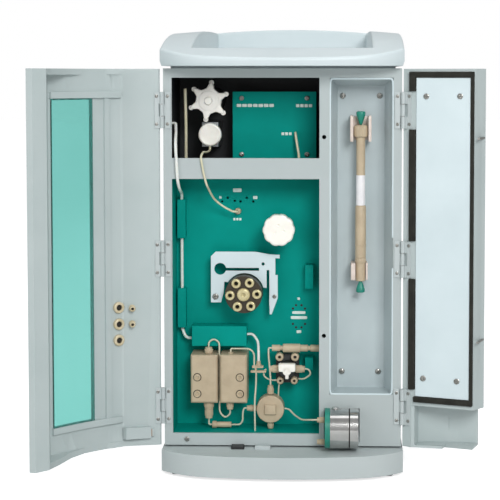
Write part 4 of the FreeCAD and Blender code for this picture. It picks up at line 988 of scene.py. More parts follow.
@dataclass
class Housing(Assembly):
    """Base tray, cap, shell, front frame, rear panel, feet and the small blocks on the base.

    Attributes:
        edge: width of the rounding on the base tray's edges.
        drain: left and right end of the drain block.
        lock: left and right end of the lock block.
        base_top: height of the base's top, which both blocks stand on.
        block_depth: depth of their middle.
        foot_across: how far the feet stand from the middle.
        front_foot: depth of the front pads' middle.
        back_foot: depth of the back feet's middle.
    """

    edge: float = 1.2
    drain: tuple[float, float] = (-53.4, -39.8)
    lock: tuple[float, float] = (-28.7, -12.3)
    base_top: float = 26.0
    block_depth: float = -5.5
    foot_across: float = 110.0
    front_foot: float = 2.0
    back_foot: float = 300.0

    def build(self) -> None:
        """Rounds the mouldings' edges and dresses the sheet steel."""
        self.soften("base_tray", self.edge, Finishes.CABINET_PAINT, Body.CABINET)
        self.draw("cap_with_tray", [CapSurface().skin(), CapSurface.plinth()], Finishes.CAP_SKIN,
                  Body.CABINET, ["top_tray"])
        # The front frame takes the cabinet's coat darkened as painted shade.
        self.soften("front_frame", 0.35, Finishes.SHADED_FRAME_PAINT, Body.CABINET, 2)
        self.dress(Finishes.CABINET_PAINT, "cabinet_shell", "rear_panel")
        self.blocks()
        self.feet()

    def feet(self) -> None:
        """Draws the four feet; the front ones are long pads that reach under the bowed front."""
        back = [(0, 0), (5.4, 0), (5.9, 0.4), (6.5, 3.3), (6.3, 3.6), (0, 3.6)]
        pad = [(0, 0), (5.6, 0), (6.0, 0.4), (6.4, 3.3), (6.2, 3.6), (0, 3.6)]
        kinds = ((turned(back, 56), self.back_foot),
                 (turned(pad, 96, box_outline(2.6, 5.0)), self.front_foot))
        skins = [foot.at(Place((self.foot_across * side, depth, 0), UP)) for foot, depth in kinds
                 for side in (-1, 1)]
        self.draw("feet", skins, Finishes.SEAL_RUBBER, Body.CABINET, ["rubber_feet"])

    def blocks(self) -> None:
        """Draws the two small blocks on the base: a superellipse with a rounded top edge each."""
        for name, (left, right), finish in (("drain_block", self.drain, Finishes.BLACK_NYLON),
                                            ("lock_block", self.lock, Finishes.CABINET_PAINT)):
            half = (right - left) / 2
            shape = [(0, 0), (half, 0), (half, 2.7), (half * 0.98, 3.3), (half * 0.94, 3.6), (0, 3.6)]
            place = Place(((left + right) / 2, self.block_depth, self.base_top), UP)
            self.draw(name, [turned(shape, 96, box_outline(4.5 / half, 14.0)).at(place)], finish,
                      Body.CABINET, ["base_blocks"])


@dataclass
class UpperBay(Assembly):
    """Black bay with the module plate, the star rotor and the regulator.

    Attributes:
        plate_front: depth of the module plate's face.
        rotor: across and up, to the rotor's axis.
        first_arm: where the rotor's first arm points, in degrees.
        tip_circle: radius of the circle that the buttons on the arms lie on.
        rotor_depth: depth of the seat under the rotor.
        knob: the middle of the regulator knob's seat.
        captions: middle, width, height and number of bars of each caption.
    """

    plate_front: float = 58.0
    rotor: tuple[float, float] = (-80.0, 389.0)
    first_arm: float = 21.0
    tip_circle: float = 20.0
    rotor_depth: float = 48.0
    knob: tuple[float, float, float] = (-78.8, 45.0, 353.1)
    captions: tuple = (((-31.3, 383.9), 40.0, 3.3, 7), ((21.2, 383.7), 17.3, 3.3, 4),
                       ((2.4, 353.4), 11.0, 3.0, 3))

    def build(self) -> None:
        """Dresses the bay, draws the star and the regulator's knob and prints the caption bars."""
        self.soften("upper_bay_plate", 0.5, Finishes.TEAL_ENAMEL, Body.CABINET, 2)
        self.star()
        self.soften("regulator_plate", 0.8, Finishes.ZINC_SHEET, Body.CABINET, 2)
        self.dress(Finishes.BLACK_MOULDING, "upper_bay_liner")
        self.dress(Finishes.BLACK_NYLON, "upper_bay_module", "rotor_motor")
        disc = [(0, 0), (12.3, 0), (12.3, 5.2), (11.6, 6.5), (10.4, 7.0), (9.6, 6.6), (0, 6.4)]
        self.draw("regulator_knob", [turned(disc, 96).at(Place(self.knob))], Finishes.WHITE_ACETAL,
                  Body.CABINET, ["regulator_disc"])
        bars = [skin for middle, width, height, dashes in self.captions
                for skin in PrintedBar(middle, width, height, self.plate_front, dashes).skins()]
        self.draw("module_captions", bars, Finishes.PRINT_WHITE, Body.CABINET)

    def star(self) -> None:
        """Draws the rotor: a hub with a raised button, a star plate and a button at each arm's tip."""
        x, z = self.rotor
        place = Place((x, self.rotor_depth, z))
        hub = [(0, 0), (11.6, 0), (12.3, 0.6), (12.3, 10.2), (11.4, 11.2), (9.2, 11.9), (4.4, 12.0),
               (4.2, 12.6), (4.0, 14.1), (3.4, 14.6), (0, 14.7)]
        plate = [(0, 5.2), (13.0, 5.2), (13.5, 5.8), (13.5, 10.2), (12.9, 11.0), (11.9, 11.3), (0, 11.3)]
        tip = [(0, 5.0), (2.4, 5.0), (2.6, 5.3), (2.6, 9.3), (2.2, 9.8), (1.4, 10.0), (0, 9.9)]
        arms = star_outline(6, 1.55, 0.19, self.first_arm)
        skins = [turned(hub, 96).at(place), turned(plate, 360, arms).at(place)]
        for turn in range(6):
            angle = math.radians(self.first_arm + 60 * turn)
            across, rise = self.tip_circle * math.cos(angle), self.tip_circle * math.sin(angle)
            skins.append(turned(tip, 40).at(Place((x + across, self.rotor_depth, z + rise))))
        self.draw("star_rotor", skins, Finishes.WHITE_ACETAL, Body.ROTOR, ["six_arm_rotor"])


@dataclass
class WetEnd(Assembly):
    """Teal tub with hose clips, caption bars and the scalloped union nut.

    Attributes:
        back: depth of the tub's floor, which faces the front.
        clips: place across, foot and top of each hose clip.
        clip_half: half of a clip's width.
        nut: across and up, to the union nut's axis.
        nut_radius: the nut's radius, to the middle of its lobes.
        nut_depth: depth of the seat under the nut.
        captions: middle, width, height and number of bars of each caption.
        pinholes: across and up, of each pinhole, drawn as a dark disc of painted shade.
    """

    back: float = 45.0
    clips: tuple = ((-109.0, 242.6, 284.1), (-109.0, 146.5, 188.9), (27.3, 188.9, 214.8),
                    (27.3, 101.3, 115.2))
    clip_half: float = 4.5
    nut: tuple[float, float] = (-4.1, 254.4)
    nut_radius: float = 16.9
    nut_depth: float = 17.7
    captions: tuple = (((-50.0, 293.4), 9.2, 4.0, 1), ((-50.0, 262.2), 8.6, 2.6, 3),
                       ((16.0, 161.6), 14.0, 3.0, 1), ((16.1, 156.2), 17.6, 3.2, 1),
                       ((-68.1, 285.6), 2.6, 2.6, 1), ((-30.8, 285.6), 4.6, 3.4, 1),
                       ((15.8, 176.7), 2.6, 2.6, 1), ((16.0, 140.9), 4.8, 3.0, 1))
    pinholes: tuple = ((9.6, 166.0), (13.0, 169.6), (18.8, 169.6), (22.6, 166.0),
                       (9.6, 149.4), (13.0, 145.6), (18.8, 145.6), (22.6, 149.4))

    def build(self) -> None:
        """Dresses the tub and draws its clips, its printed marks, the painted shade of its pinholes and the union nut.
        """
        self.dress(Finishes.TEAL_ENAMEL, "wet_end_bay")
        half = self.clip_half
        shape = [(0, 0), (half, 0), (half, 11.2), (half * 0.985, 11.7), (half * 0.95, 12.0), (0, 12.0)]
        blocks = [turned(shape, 120, box_outline((high - low) / 2 / half, 26.0)).at(
            Place((x, self.back, (low + high) / 2))) for x, low, high in self.clips]
        self.draw("hose_clips", blocks, Finishes.TEAL_ENAMEL, Body.CABINET, ["tube_clips"])
        self.soften("pump_cover", 0.9, Finishes.TEAL_ENAMEL, Body.CABINET)
        self.dress(Finishes.BLACK_NYLON, "suppressor_body")
        bars = [skin for middle, width, height, dashes in self.captions
                for skin in PrintedBar(middle, width, height, self.back, dashes).skins()]
        self.draw("panel_captions", bars, Finishes.PRINT_WHITE, Body.CABINET)
        # A near-black disc at each pinhole: painted shade where no light reaches in.
        dot = [(0, -0.3), (1.2, -0.3), (1.25, 0.05), (0.9, 0.1), (0, 0.1)]
        self.draw("panel_pinhole_shades", [turned(dot, 20).at(Place((x, self.back, z))) for x, z in self.pinholes],
                  Finishes.BORE_SHADE, Body.CABINET, slot="black_plastic")
        self.union_nut()

    def union_nut(self) -> None:
        """Draws the nut as a lobed profile with three blind holes in its face."""
        size = self.nut_radius
        holes = ((0.6, 5.3), (-5.4, -1.1), (3.7, -2.9))

        def blind(across: np.ndarray, rise: np.ndarray) -> np.ndarray:
            """Depth of the three holes: one smooth round step about each hole's middle."""
            deep = [1.2 / (1 + np.exp((np.hypot(across + x, rise - z) - 1.1) / 0.12)) for x, z in holes]
            return np.sum(deep, axis=0)

        profile = [(0, 0), (size * 0.9, 0), (size * 0.985, 0.7), (size, 1.6), (size, 11.2),
                   (size * 0.97, 12.4), (size * 0.9, 13.1)]
        profile += [(size * share, 13.2) for share in np.linspace(0.86, 0.0, 34)]
        nut = turned(profile, 200, lobed_outline(10, 0.055), blind)
        self.draw("scalloped_union_nut", [nut.at(Place((self.nut[0], self.nut_depth, self.nut[1])))],
                  Finishes.WHITE_ACETAL, Body.UNION_NUT, ["suppressor_nut"])


@dataclass
class InjectionValve(Assembly):
    """Six-port valve in its bracket.

    Attributes:
        middle: across and up, to the valve's axis.
        circle: radius of the ring that the six ports stand on.
        ring: outer radius of one port.
        bore: radius of its threaded bore.
        port_depth: depth of the stator's face that the ports stand on.
        boss_depth: depth of the face under the boss.
    """

    middle: tuple[float, float] = (-41.5, 185.4)
    circle: float = 14.2
    ring: float = 5.0
    bore: float = 2.4
    port_depth: float = 18.0
    boss_depth: float = 16.0

    def build(self) -> None:
        """Rounds the bracket and the stator and draws the ports, with painted shade at the floor of their bores, and
        the boss.
        """
        self.soften("valve_bracket", 0.35, Finishes.PALE_SHEET, Body.CABINET, 2)
        self.soften("injection_valve_body", 0.5, Finishes.VALVE_DARK, Body.CABINET, 2)
        size, hole = self.ring, self.bore
        port = [(0, 0), (size, 0), (size, 7.4), (size - 0.5, 8.3), (size - 1.0, 8.5), (hole + 0.5, 8.5),
                (hole, 8.1), (hole, 7.6), (hole - 0.25, 7.3), (hole, 7.0), (hole - 0.25, 6.7), (hole, 6.4),
                (hole - 0.25, 6.1), (hole, 5.8), (hole, 2.0), (0, 1.2)]
        # A near-black disc at the floor of each port's bore: painted shade.
        floor = [(0, 1.0), (hole - 0.05, 1.0), (hole - 0.05, 2.2), (0, 1.9)]
        ports, bore_shades = [], []
        for turn in range(6):
            angle = math.radians(3 + 60 * turn)
            place = Place((self.middle[0] + self.circle * math.cos(angle), self.port_depth,
                           self.middle[1] + self.circle * math.sin(angle)))
            ports.append(turned(port, 56).at(place))
            bore_shades.append(turned(floor, 32).at(place))
        self.draw("valve_ports", ports, Finishes.VALVE_GILT, Body.CABINET, ["injection_valve_ports"])
        self.draw("valve_port_bore_shades", bore_shades, Finishes.BORE_SHADE, Body.CABINET)
        boss = [(0, 0), (6.9, 0), (6.9, 4.2), (6.3, 5.1), (5.6, 5.5), (2.4, 5.5), (2.0, 5.1), (2.0, 2.2),
                (0, 1.8)]
        place = Place((self.middle[0], self.boss_depth, self.middle[1]))
        self.draw("valve_boss", [turned(boss, 72).at(place)], Finishes.VALVE_GILT, Body.CABINET,
                  ["injection_valve_boss"])


@dataclass
class PumpAndPlumbing(Assembly):
    """Twin pump heads, finger-tight nuts, filters, damper, purge valve and the lines between them.

    Attributes:
        line: depth of the plane in which most nuts and lines lie.
        head_front: depth of the pump heads' front faces.
        screw_spots: across and up of each cap screw of the heads.
        nuts: foot, tip, radius and number of grip ribs of each finger-tight nut.
        purge: across and up, to the purge valve's axis.
        purge_block: depth of the seat under the purge valve's block.
        purge_front: depth of the seat under its ports.
        purge_tee: depth of the seat under the moulded tee.
        handle_seat: depth of the seat under its handle.
        purge_ports: steps across and up from the axis, radius and bore of each port.
        tee_rows: middle, height, width and thickness of each bar of the tee.
        purge_lines: points that the two short lines at the purge valve pass through.
    """

    line: float = 22.0
    head_front: float = 12.0
    screw_spots: tuple = ((-90.6, 97.4), (-45.5, 97.4), (-90.6, 79.8), (-45.5, 79.8))
    nuts: tuple = (
        ((-79.2, 22, 121.1), (-79.2, 22, 128), 4.5, 12), ((-79.2, 22, 69.8), (-79.2, 22, 61.3), 5.4, 16),
        ((-79.2, 22, 61.3), (-79.2, 22, 51.8), 4.5, 12), ((-56.6, 22, 69.8), (-56.6, 22, 61.3), 3.9, 12),
        ((-13.5, 22, 77.8), (-13.5, 22, 87.4), 3.5, 12), ((-13.5, 22, 47.6), (-13.5, 22, 41.2), 3.5, 12),
        ((-28.5, 22, 62.7), (-38.6, 22, 62.7), 3.4, 12), ((44.6, -13, 58.5), (36.5, -13, 58.5), 3.1, 12),
        ((44.6, -13, 35.5), (36.5, -13, 35.5), 3.1, 12), ((-49.1, 45, 271.2), (-49.1, 39, 271.2), 3.5, 12))
    purge: tuple[float, float] = (4.3, 104.7)
    purge_block: float = 45.0
    purge_front: float = 29.2
    purge_tee: float = 24.0
    handle_seat: float = 15.7
    purge_ports: tuple = ((-8.2, 12.9, 4.3, 1.7), (8.2, 12.9, 4.3, 1.7), (-7.4, -12.5, 3.7, 1.4),
                          (7.4, -12.5, 3.7, 1.4))
    tee_rows: tuple = ((-27.1, 107.25, 12.2, 2.5), (-29.2, 104.7, 2.4, 3.4), (-26.4, 102.15, 16.6, 2.3))
    purge_lines: tuple = (
        ((-18.0, 24.0, 104.2), (-20.6, 24.0, 102.0), (-20.0, 24.5, 96.5), (-14.0, 25.0, 92.6),
         (-6.6, 25.2, 92.2)),
        ((-4.2, 25.0, 89.5), (-5.0, 25.5, 83.0), (-5.4, 27.0, 74.0)))

    def build(self) -> None:
        """Rounds the heads, the damper and the filters, draws the nuts and dresses the lines."""
        for node in ("pump_head_left", "pump_head_right"):
            self.soften(node, 0.35, Finishes.PEEK, Body.CABINET, 2, 28)
        self.soften("pulsation_damper", 0.9, Finishes.PEEK, Body.CABINET)
        self.soften("inline_filters", 0.5, Finishes.PEEK, Body.CABINET, 2)
        self.purge_valve()
        skins = []
        for start, end, radius, ribs in self.nuts:
            place, length = between(start, end)
            skins += Ferrule(radius, length, ribs).skins(place)
        washer = turned([(0, 0), (3, 0), (3, 1.2), (2.6, 1.5), (0, 1.5)], 32)
        skins.append(washer.at(Place((-55.8, self.line, 121.1), UP)))
        self.draw("finger_tight_nuts", skins, Finishes.PEEK, Body.CABINET, ["capillary_nuts"])
        self.dress(Finishes.PEEK_TUBE, "peek_capillaries")
        self.dress(Finishes.PTFE_HOSE, "white_hose")
        self.dress(Finishes.CREAM_HOSE, "cream_capillary")
        self.head_screws()
        self.drop_hose()

    def purge_valve(self) -> None:
        """Draws the purge valve: black block, ports that face the front, side nuts, tee, lines and handle."""
        x, z = self.purge
        block = [(0, 0), (12.3, 0), (12.3, 14.6), (12.0, 15.6), (11.4, 16.0), (0, 16.0)]
        barrel = [(0, 14), (8.6, 14), (8.6, 28.2), (8.1, 28.9), (7.4, 29.1), (0, 29.1)]
        seat = Place((x, self.purge_block, z))
        self.draw("purge_valve_block", [turned(block, 128, box_outline(1.3, 10.0)).at(seat),
                                        turned(barrel, 72).at(seat)],
                  Finishes.BLACK_NYLON, Body.CABINET, ["purge_valve_body"])
        ports, bore_shades = [], []
        for right, up, radius, bore in self.purge_ports:
            place = Place((x + right, self.purge_front, z + up))
            ports.append(turned([(0, 0), (radius, 0), (radius, 7.6), (radius - 0.5, 8.4), (radius - 1.0, 8.6),
                                 (bore + 0.3, 8.6), (bore, 8.3), (bore, 6.0), (0, 5.8)], 56).at(place))
            # A near-black disc at the floor of each port's bore: painted shade.
            bore_shades.append(turned([(0, 5.9), (bore - 0.04, 5.9), (bore - 0.04, 6.2), (0, 6.3)], 32).at(place))
        for side in (-1, 1):
            place, length = between((x + 8.4 * side, self.purge_tee, z),
                                    (x + 18.6 * side, self.purge_tee, z - 0.2))
            ports += Ferrule(4.1, length, 12).skins(place)
        for middle, height, width, tall in self.tee_rows:
            bar = [(0, 0), (width / 2, 0), (width / 2, 3.4), (width / 2 - 0.3, 3.9), (0, 4.0)]
            ports.append(turned(bar, 64, box_outline(tall / width, 9.0)).at(
                Place((middle, self.purge_tee, height))))
        spout = [(0, 0), (3.0, 0), (3.0, 1.2), (2.3, 1.8), (2.2, 5.0), (0, 5.1)]
        ports.append(turned(spout, 40).at(Place((-26.2, self.line, 108.3), UP)))
        self.draw("purge_lines", [swept(smooth_line(line, 12), 0.8) for line in self.purge_lines],
                  Finishes.PEEK_TUBE, Body.CABINET)
        self.draw("purge_ports", ports, Finishes.PEEK, Body.CABINET, ["purge_fittings"])
        self.draw("purge_port_bore_shades", bore_shades, Finishes.BORE_SHADE, Body.CABINET)
        self.handle()

    def handle(self) -> None:
        """Draws the tee handle of the purge valve: its bar, its stem and its hub."""
        x, z = self.purge
        bar = [(0, 0), (9.0, 0), (9.0, 5.4), (8.7, 6.3), (8.2, 6.7), (0, 6.7)]
        stem = [(0, 0), (1.8, 0), (1.8, 5.7), (1.5, 6.4), (0, 6.6)]
        hub = [(0, 0), (4.6, 0), (4.6, 5.9), (4.2, 6.5), (3.5, 6.7), (2.1, 6.7), (1.8, 6.4), (1.4, 6.3),
               (0, 6.3)]
        skins = [skin.at(Place((x, self.handle_seat, z + lift))) for skin, lift in (
            (turned(bar, 96, box_outline(0.48, 9.0)), 3.6), (turned(stem, 64, box_outline(2.6, 9.0)), -3.6),
            (turned(hub, 72), 0))]
        self.draw("purge_tee_handle", skins, Finishes.WHITE_ACETAL, Body.PURGE_HANDLE, ["purge_valve_handle"])

    def drop_hose(self) -> None:
        """Draws the white hose with its drop from the pump cover to the tee."""
        route = ((-39.0, 34.0, 140.0), (-33.0, 34.0, 139.4), (-27.6, 29.5, 133.0), (-26.2, 22.0, 124.0),
                 (-26.2, 22.0, 112.5))
        self.draw("drop_hose", [swept(smooth_line(route, 14), 1.35)], Finishes.PTFE_HOSE, Body.CABINET)

    def head_screws(self) -> None:
        """Draws the cap screws of the pump heads, each with a hexagon socket and a dark ring of painted shade round it
        for its counterbore.
        """
        def socket(across: np.ndarray, rise: np.ndarray) -> np.ndarray:
            """Gives the depth of the hexagon socket.

            The distance to the nearest flat goes through a steep smooth step: 1.5 deep inside the hexagon
            and nothing outside it.

            Args:
                across: Places across the screw's face, from its axis.
                rise: Places up the screw's face, from its axis.

            Returns:
                How deep the face lies at each place.
            """
            angle = np.arctan2(rise, across)
            flat = np.hypot(across, rise) * np.cos((angle % (math.pi / 3)) - math.pi / 6)
            return 1.5 / (1 + np.exp((flat - 1.7) / 0.07))

        profile = [(0, -0.6), (3.6, -0.6), (3.6, 1.4), (3.4, 1.8), (3.1, 2.0)]
        profile += [(3.0 * share, 2.05) for share in np.linspace(1, 0, 22)]
        seats = [Place((x, self.head_front, z)) for x, z in self.screw_spots]
        screws = [turned(profile, 84, dent=socket).at(seat) for seat in seats]
        # A flat near-black ring round each screw: painted shade in its counterbore.
        ring = [(0, -0.3), (4.4, -0.3), (4.4, 0.05), (0, 0.1)]
        counterbore_shades = [turned(ring, 48).at(seat) for seat in seats]
        self.draw("head_cap_screws", screws, Finishes.PEEK, Body.CABINET)
        self.draw("head_screw_counterbore_shades", counterbore_shades, Finishes.BORE_SHADE, Body.CABINET)


@dataclass
class Fasteners(Assembly):
    """Cross-head screws of the cabinet, and the hinge screws.

    Attributes:
        frame_screws: across, depth, height and radius of each screw head of the cabinet.
        hinge_screw: radius of a hinge screw's head.
        hinge_screw_rises: how far a hinge's two screws stand above its foot.
        leaf_spot: across and depth of the cabinet's hinge screws, on the right.
    """

    frame_screws: tuple = ((-46.1, 58, 391.7, 2.7), (24.4, 58, 391.7, 2.7), (-46.1, 58, 331.2, 2.7),
                           (24.4, 58, 331.2, 2.7), (62.7, 36, 394.7, 3.1), (101.8, 36, 394.7, 3.1),
                           (62.1, 36, 100.1, 3.1), (100.9, 36, 100.1, 3.1), (-100.5, 0, 34.3, 2.6),
                           (-72.3, 28.5, 181.1, 3.3), (-9.6, 28.5, 181.3, 2.2))
    hinge_screw: float = 1.75
    hinge_screw_rises: tuple[float, float] = (4.4, 33.4)
    leaf_spot: tuple[float, float] = (119.3, -1.5)

    def build(self) -> None:
        """Draws every screw head where its seat is. The cabinet's are each turned more than the last."""
        skins = []
        for number, (x, y, z, radius) in enumerate(self.frame_screws):
            head = Screw(radius, radius * 0.55, radius * 0.12, radius * 0.6, radius * 0.28)
            skins.append(head.skin(Place((x, y, z), turn=17.0 * number)))
        self.draw("cross_head_screws", skins, Finishes.SCREW_STEEL, Body.CABINET, ["cabinet_screws"])
        small = Screw(self.hinge_screw, 0.8, 0.22, 1.0, 0.4)
        heights = [row + rise for row in HINGE_ROWS for rise in self.hinge_screw_rises]
        across, depth = self.leaf_spot
        leaf = [small.skin(Place((across * side, depth, z), turn=20.0 * number))
                for side in (-1, 1) for number, z in enumerate(heights)]
        self.draw("cabinet_hinge_screws", leaf, Finishes.SCREW_STEEL, Body.CABINET)
        for door, (across, depth), facing, body, name in (
                (LEFT, (4.05, -3.67), (0.6225, 0.7826, 0.0), Body.LEFT_DOOR, "left_hinge_screws"),
                (RIGHT, (-6.66, -0.051), (0.3129, 0.9498, 0.0), Body.RIGHT_DOOR, "right_hinge_screws")):
            heads = [small.skin(door.place((across, depth, z), facing)) for z in heights]
            self.draw(name, heads, Finishes.SCREW_STEEL, body)


@dataclass(frozen=True)
class DoorAxes:
    """The axes that a door is drawn in, closed, about its hinge line.

    Attributes:
        hinge: across and depth of the hinge line.
        opening: how far the door stands open at rest, in degrees.
    """

    hinge: tuple[float, float]
    opening: float

    def place(self, spot: tuple[float, float, float], facing: tuple[float, float, float],
              turn: float = 0.0) -> Place:
        """Carries a spot on the closed door to where the door stands.

        Args:
            spot: the spot, from the hinge line, with the door closed.
            facing: the way that the piece faces there, with the door closed.
            turn: turn about that way, in degrees.

        Returns:
            The place in the cabinet's axes.
        """
        bend = math.radians(self.opening)
        level, deep = math.cos(bend), math.sin(bend)
        swing = np.array([[level, -deep, 0], [deep, level, 0], [0, 0, 1]])
        where = swing @ np.array(spot) + np.array([self.hinge[0], self.hinge[1], 0])
        return Place(tuple(where), tuple(swing @ np.array(facing)), turn)


LEFT = DoorAxes((-125.0, -3.0), -129.0)
RIGHT = DoorAxes((125.0, -3.0), 160.0)


@dataclass
class ColumnBay(Assembly):
    """Recess with the separation column between its plugs.

    Attributes:
        axis: across and depth of the column's axis.
        opening: middle across and up, half width and half height of the recess's mouth.
        label: foot and top of the paper label on the barrel.
        clip_back: depth of the wall that the clips stand on.
        cheeks: left, right, front, foot and top of each part of the clips, from the axis across.
    """

    axis: tuple[float, float] = (81.7, 20.0)
    opening: tuple[float, float, float, float] = (82.25, 247.8, 32.6, 165.0)
    label: tuple[float, float] = (279.8, 311.5)
    clip_back: float = 36.0
    cheeks: tuple = ((-11.2, -7.9, 12.0, 347.0, 374.0), (7.9, 11.2, 12.0, 347.0, 374.0),
                     (-9.0, 9.0, 27.0, 348.0, 373.0), (-10.2, -5.4, 13.0, 201.0, 219.0),
                     (5.4, 7.6, 16.0, 201.0, 219.0), (-8.0, 7.0, 26.0, 202.0, 218.0))

    def build(self) -> None:
        """Rounds the recess and draws what stands in it, and the bead round its mouth, painted pale as a painted
        highlight.
        """
        self.soften("column_liner", 0.7, Finishes.RECESS_PAINT, Body.CABINET, 2)
        self.clips()
        nut = [(0, 0), (6.0, 0), (7.2, 0.8), (7.7, 2.0), (7.7, 9.5), (7.3, 11.2), (6.2, 12.6), (5.0, 13.0),
               (0, 13.0)]
        collar = [(0, 0), (5.6, 0), (5.9, 0.4), (5.9, 4.5), (5.5, 5.0), (0, 5.0)]
        grooves = [(0, 0), (5.95, 0), (5.95, 0.9), (5.75, 1.1), (5.75, 1.9), (5.95, 2.1), (5.95, 3.2),
                   (0, 3.2)]
        self.draw("column_nuts", [self.stand(turned(nut, 144, lobed_outline(18, 0.07)), 351.4),
                                  self.stand(turned(collar, 120, lobed_outline(15, 0.05)), 219),
                                  self.stand(turned(grooves, 48), 236)],
                  Finishes.PEEK, Body.CABINET, ["column_end_nuts"])
        self.bead()
        low, high = self.label
        sleeve = [(0, low), (4.78, low), (4.84, low + 0.2), (4.84, high - 0.2), (4.78, high), (0, high)]
        self.draw("column_label", [self.stand(turned(sleeve, 64))], Finishes.LABEL_PAPER, Body.CABINET)
        barrel = [(0, 200), (5.1, 200), (5.1, 223.8), (5.6, 224.4), (5.7, 226), (5.7, 277.6), (5.3, 279),
                  (4.7, 279.6), (4.7, 351.6), (0, 351.6)]
        self.draw("column_barrel", [self.stand(turned(barrel, 72))], Finishes.PEEK, Body.CABINET,
                  ["column_tube"])
        top = [(0, 0), (1.0, 0), (1.5, 0.5), (4.4, 9.6), (4.7, 11.0), (4.7, 13.2), (4.2, 14.0), (3.2, 14.3),
               (0, 14.3)]
        foot = [(0, 0), (3.4, 0), (4.4, 0.6), (4.8, 1.8), (4.6, 3.6), (3.4, 7.4), (1.8, 11.2), (1.5, 12.9),
                (0, 12.9)]
        self.draw("column_stoppers", [self.stand(turned(top, 96, lobed_outline(12, 0.05)), 364.4),
                                      self.stand(turned(foot, 96, lobed_outline(12, 0.05)), 187.3)],
                  Finishes.GREEN_PLUG, Body.CABINET, ["column_plugs"])

    def stand(self, skin: Skin, height: float = 0.0) -> Skin:
        """Stands a turned skin upright on the column's axis, with its foot at a height."""
        return skin.at(Place((self.axis[0], self.axis[1], height), UP))

    def bead(self) -> None:
        """Draws the bead round the recess's mouth: a rod swept round a box outline, its pale colour a painted highlight
        on the mouth's rounded edge.
        """
        middle, height, half, tall = self.opening
        turn = np.linspace(0, 2 * math.pi, 400)
        wide, rise = box_outline(tall / half, 44.0)(turn)
        path = np.stack([middle + half * wide, np.full_like(turn, 0.95), height + half * rise], -1)
        self.draw("recess_bead_painted_highlight", [swept(path, 1.05, 12)], Finishes.PALE_SHEET, Body.CABINET)

    def clips(self) -> None:
        """Draws the two clips: a back block and cheeks with rounded corners."""
        skins = []
        for left, right, front, low, high in self.cheeks:
            half, tall = (right - left) / 2, (high - low) / 2
            reach = self.clip_back - front
            shape = [(0, 0), (half, 0), (half, reach - 0.9), (half * 0.9, reach - 0.2), (half * 0.75, reach),
                     (0, reach)]
            spot = (self.axis[0] + (left + right) / 2, self.clip_back, (low + high) / 2)
            skins.append(turned(shape, 96, box_outline(tall / half, 14.0)).at(Place(spot)))
        self.draw("column_holders", skins, Finishes.CLIP_ACETAL, Body.CABINET, ["column_clips"])


@dataclass
class Detector(Assembly):
    """Bright conductivity cell that lies in front of the lower panel.

    Attributes:
        axis: depth and height of the can's axis, which runs across.
    """

    axis: tuple[float, float] = (-13.0, 50.0)

    def build(self) -> None:
        """Rounds the can and its end plate and draws a dark ring of painted shade in the groove round the can."""
        self.soften("detector_can", 0.7, Finishes.BRIGHT_STEEL, Body.CABINET, 3, 40)
        # A near-black ring at the floor of the can's groove: painted shade.
        groove_shade = [(0, 69.55), (20.15, 69.55), (20.25, 69.8), (20.25, 70.4), (20.15, 70.6), (0, 70.6)]
        place = Place((0, self.axis[0], self.axis[1]), (1, 0, 0))
        self.draw("detector_groove_shade", [turned(groove_shade, 120).at(place)], Finishes.BORE_SHADE, Body.CABINET)
        self.soften("detector_end_plate", 0.6, Finishes.GREEN_PLUG, Body.CABINET, 2, 40)
        self.dress(Finishes.CABINET_PAINT, "detector_saddle")


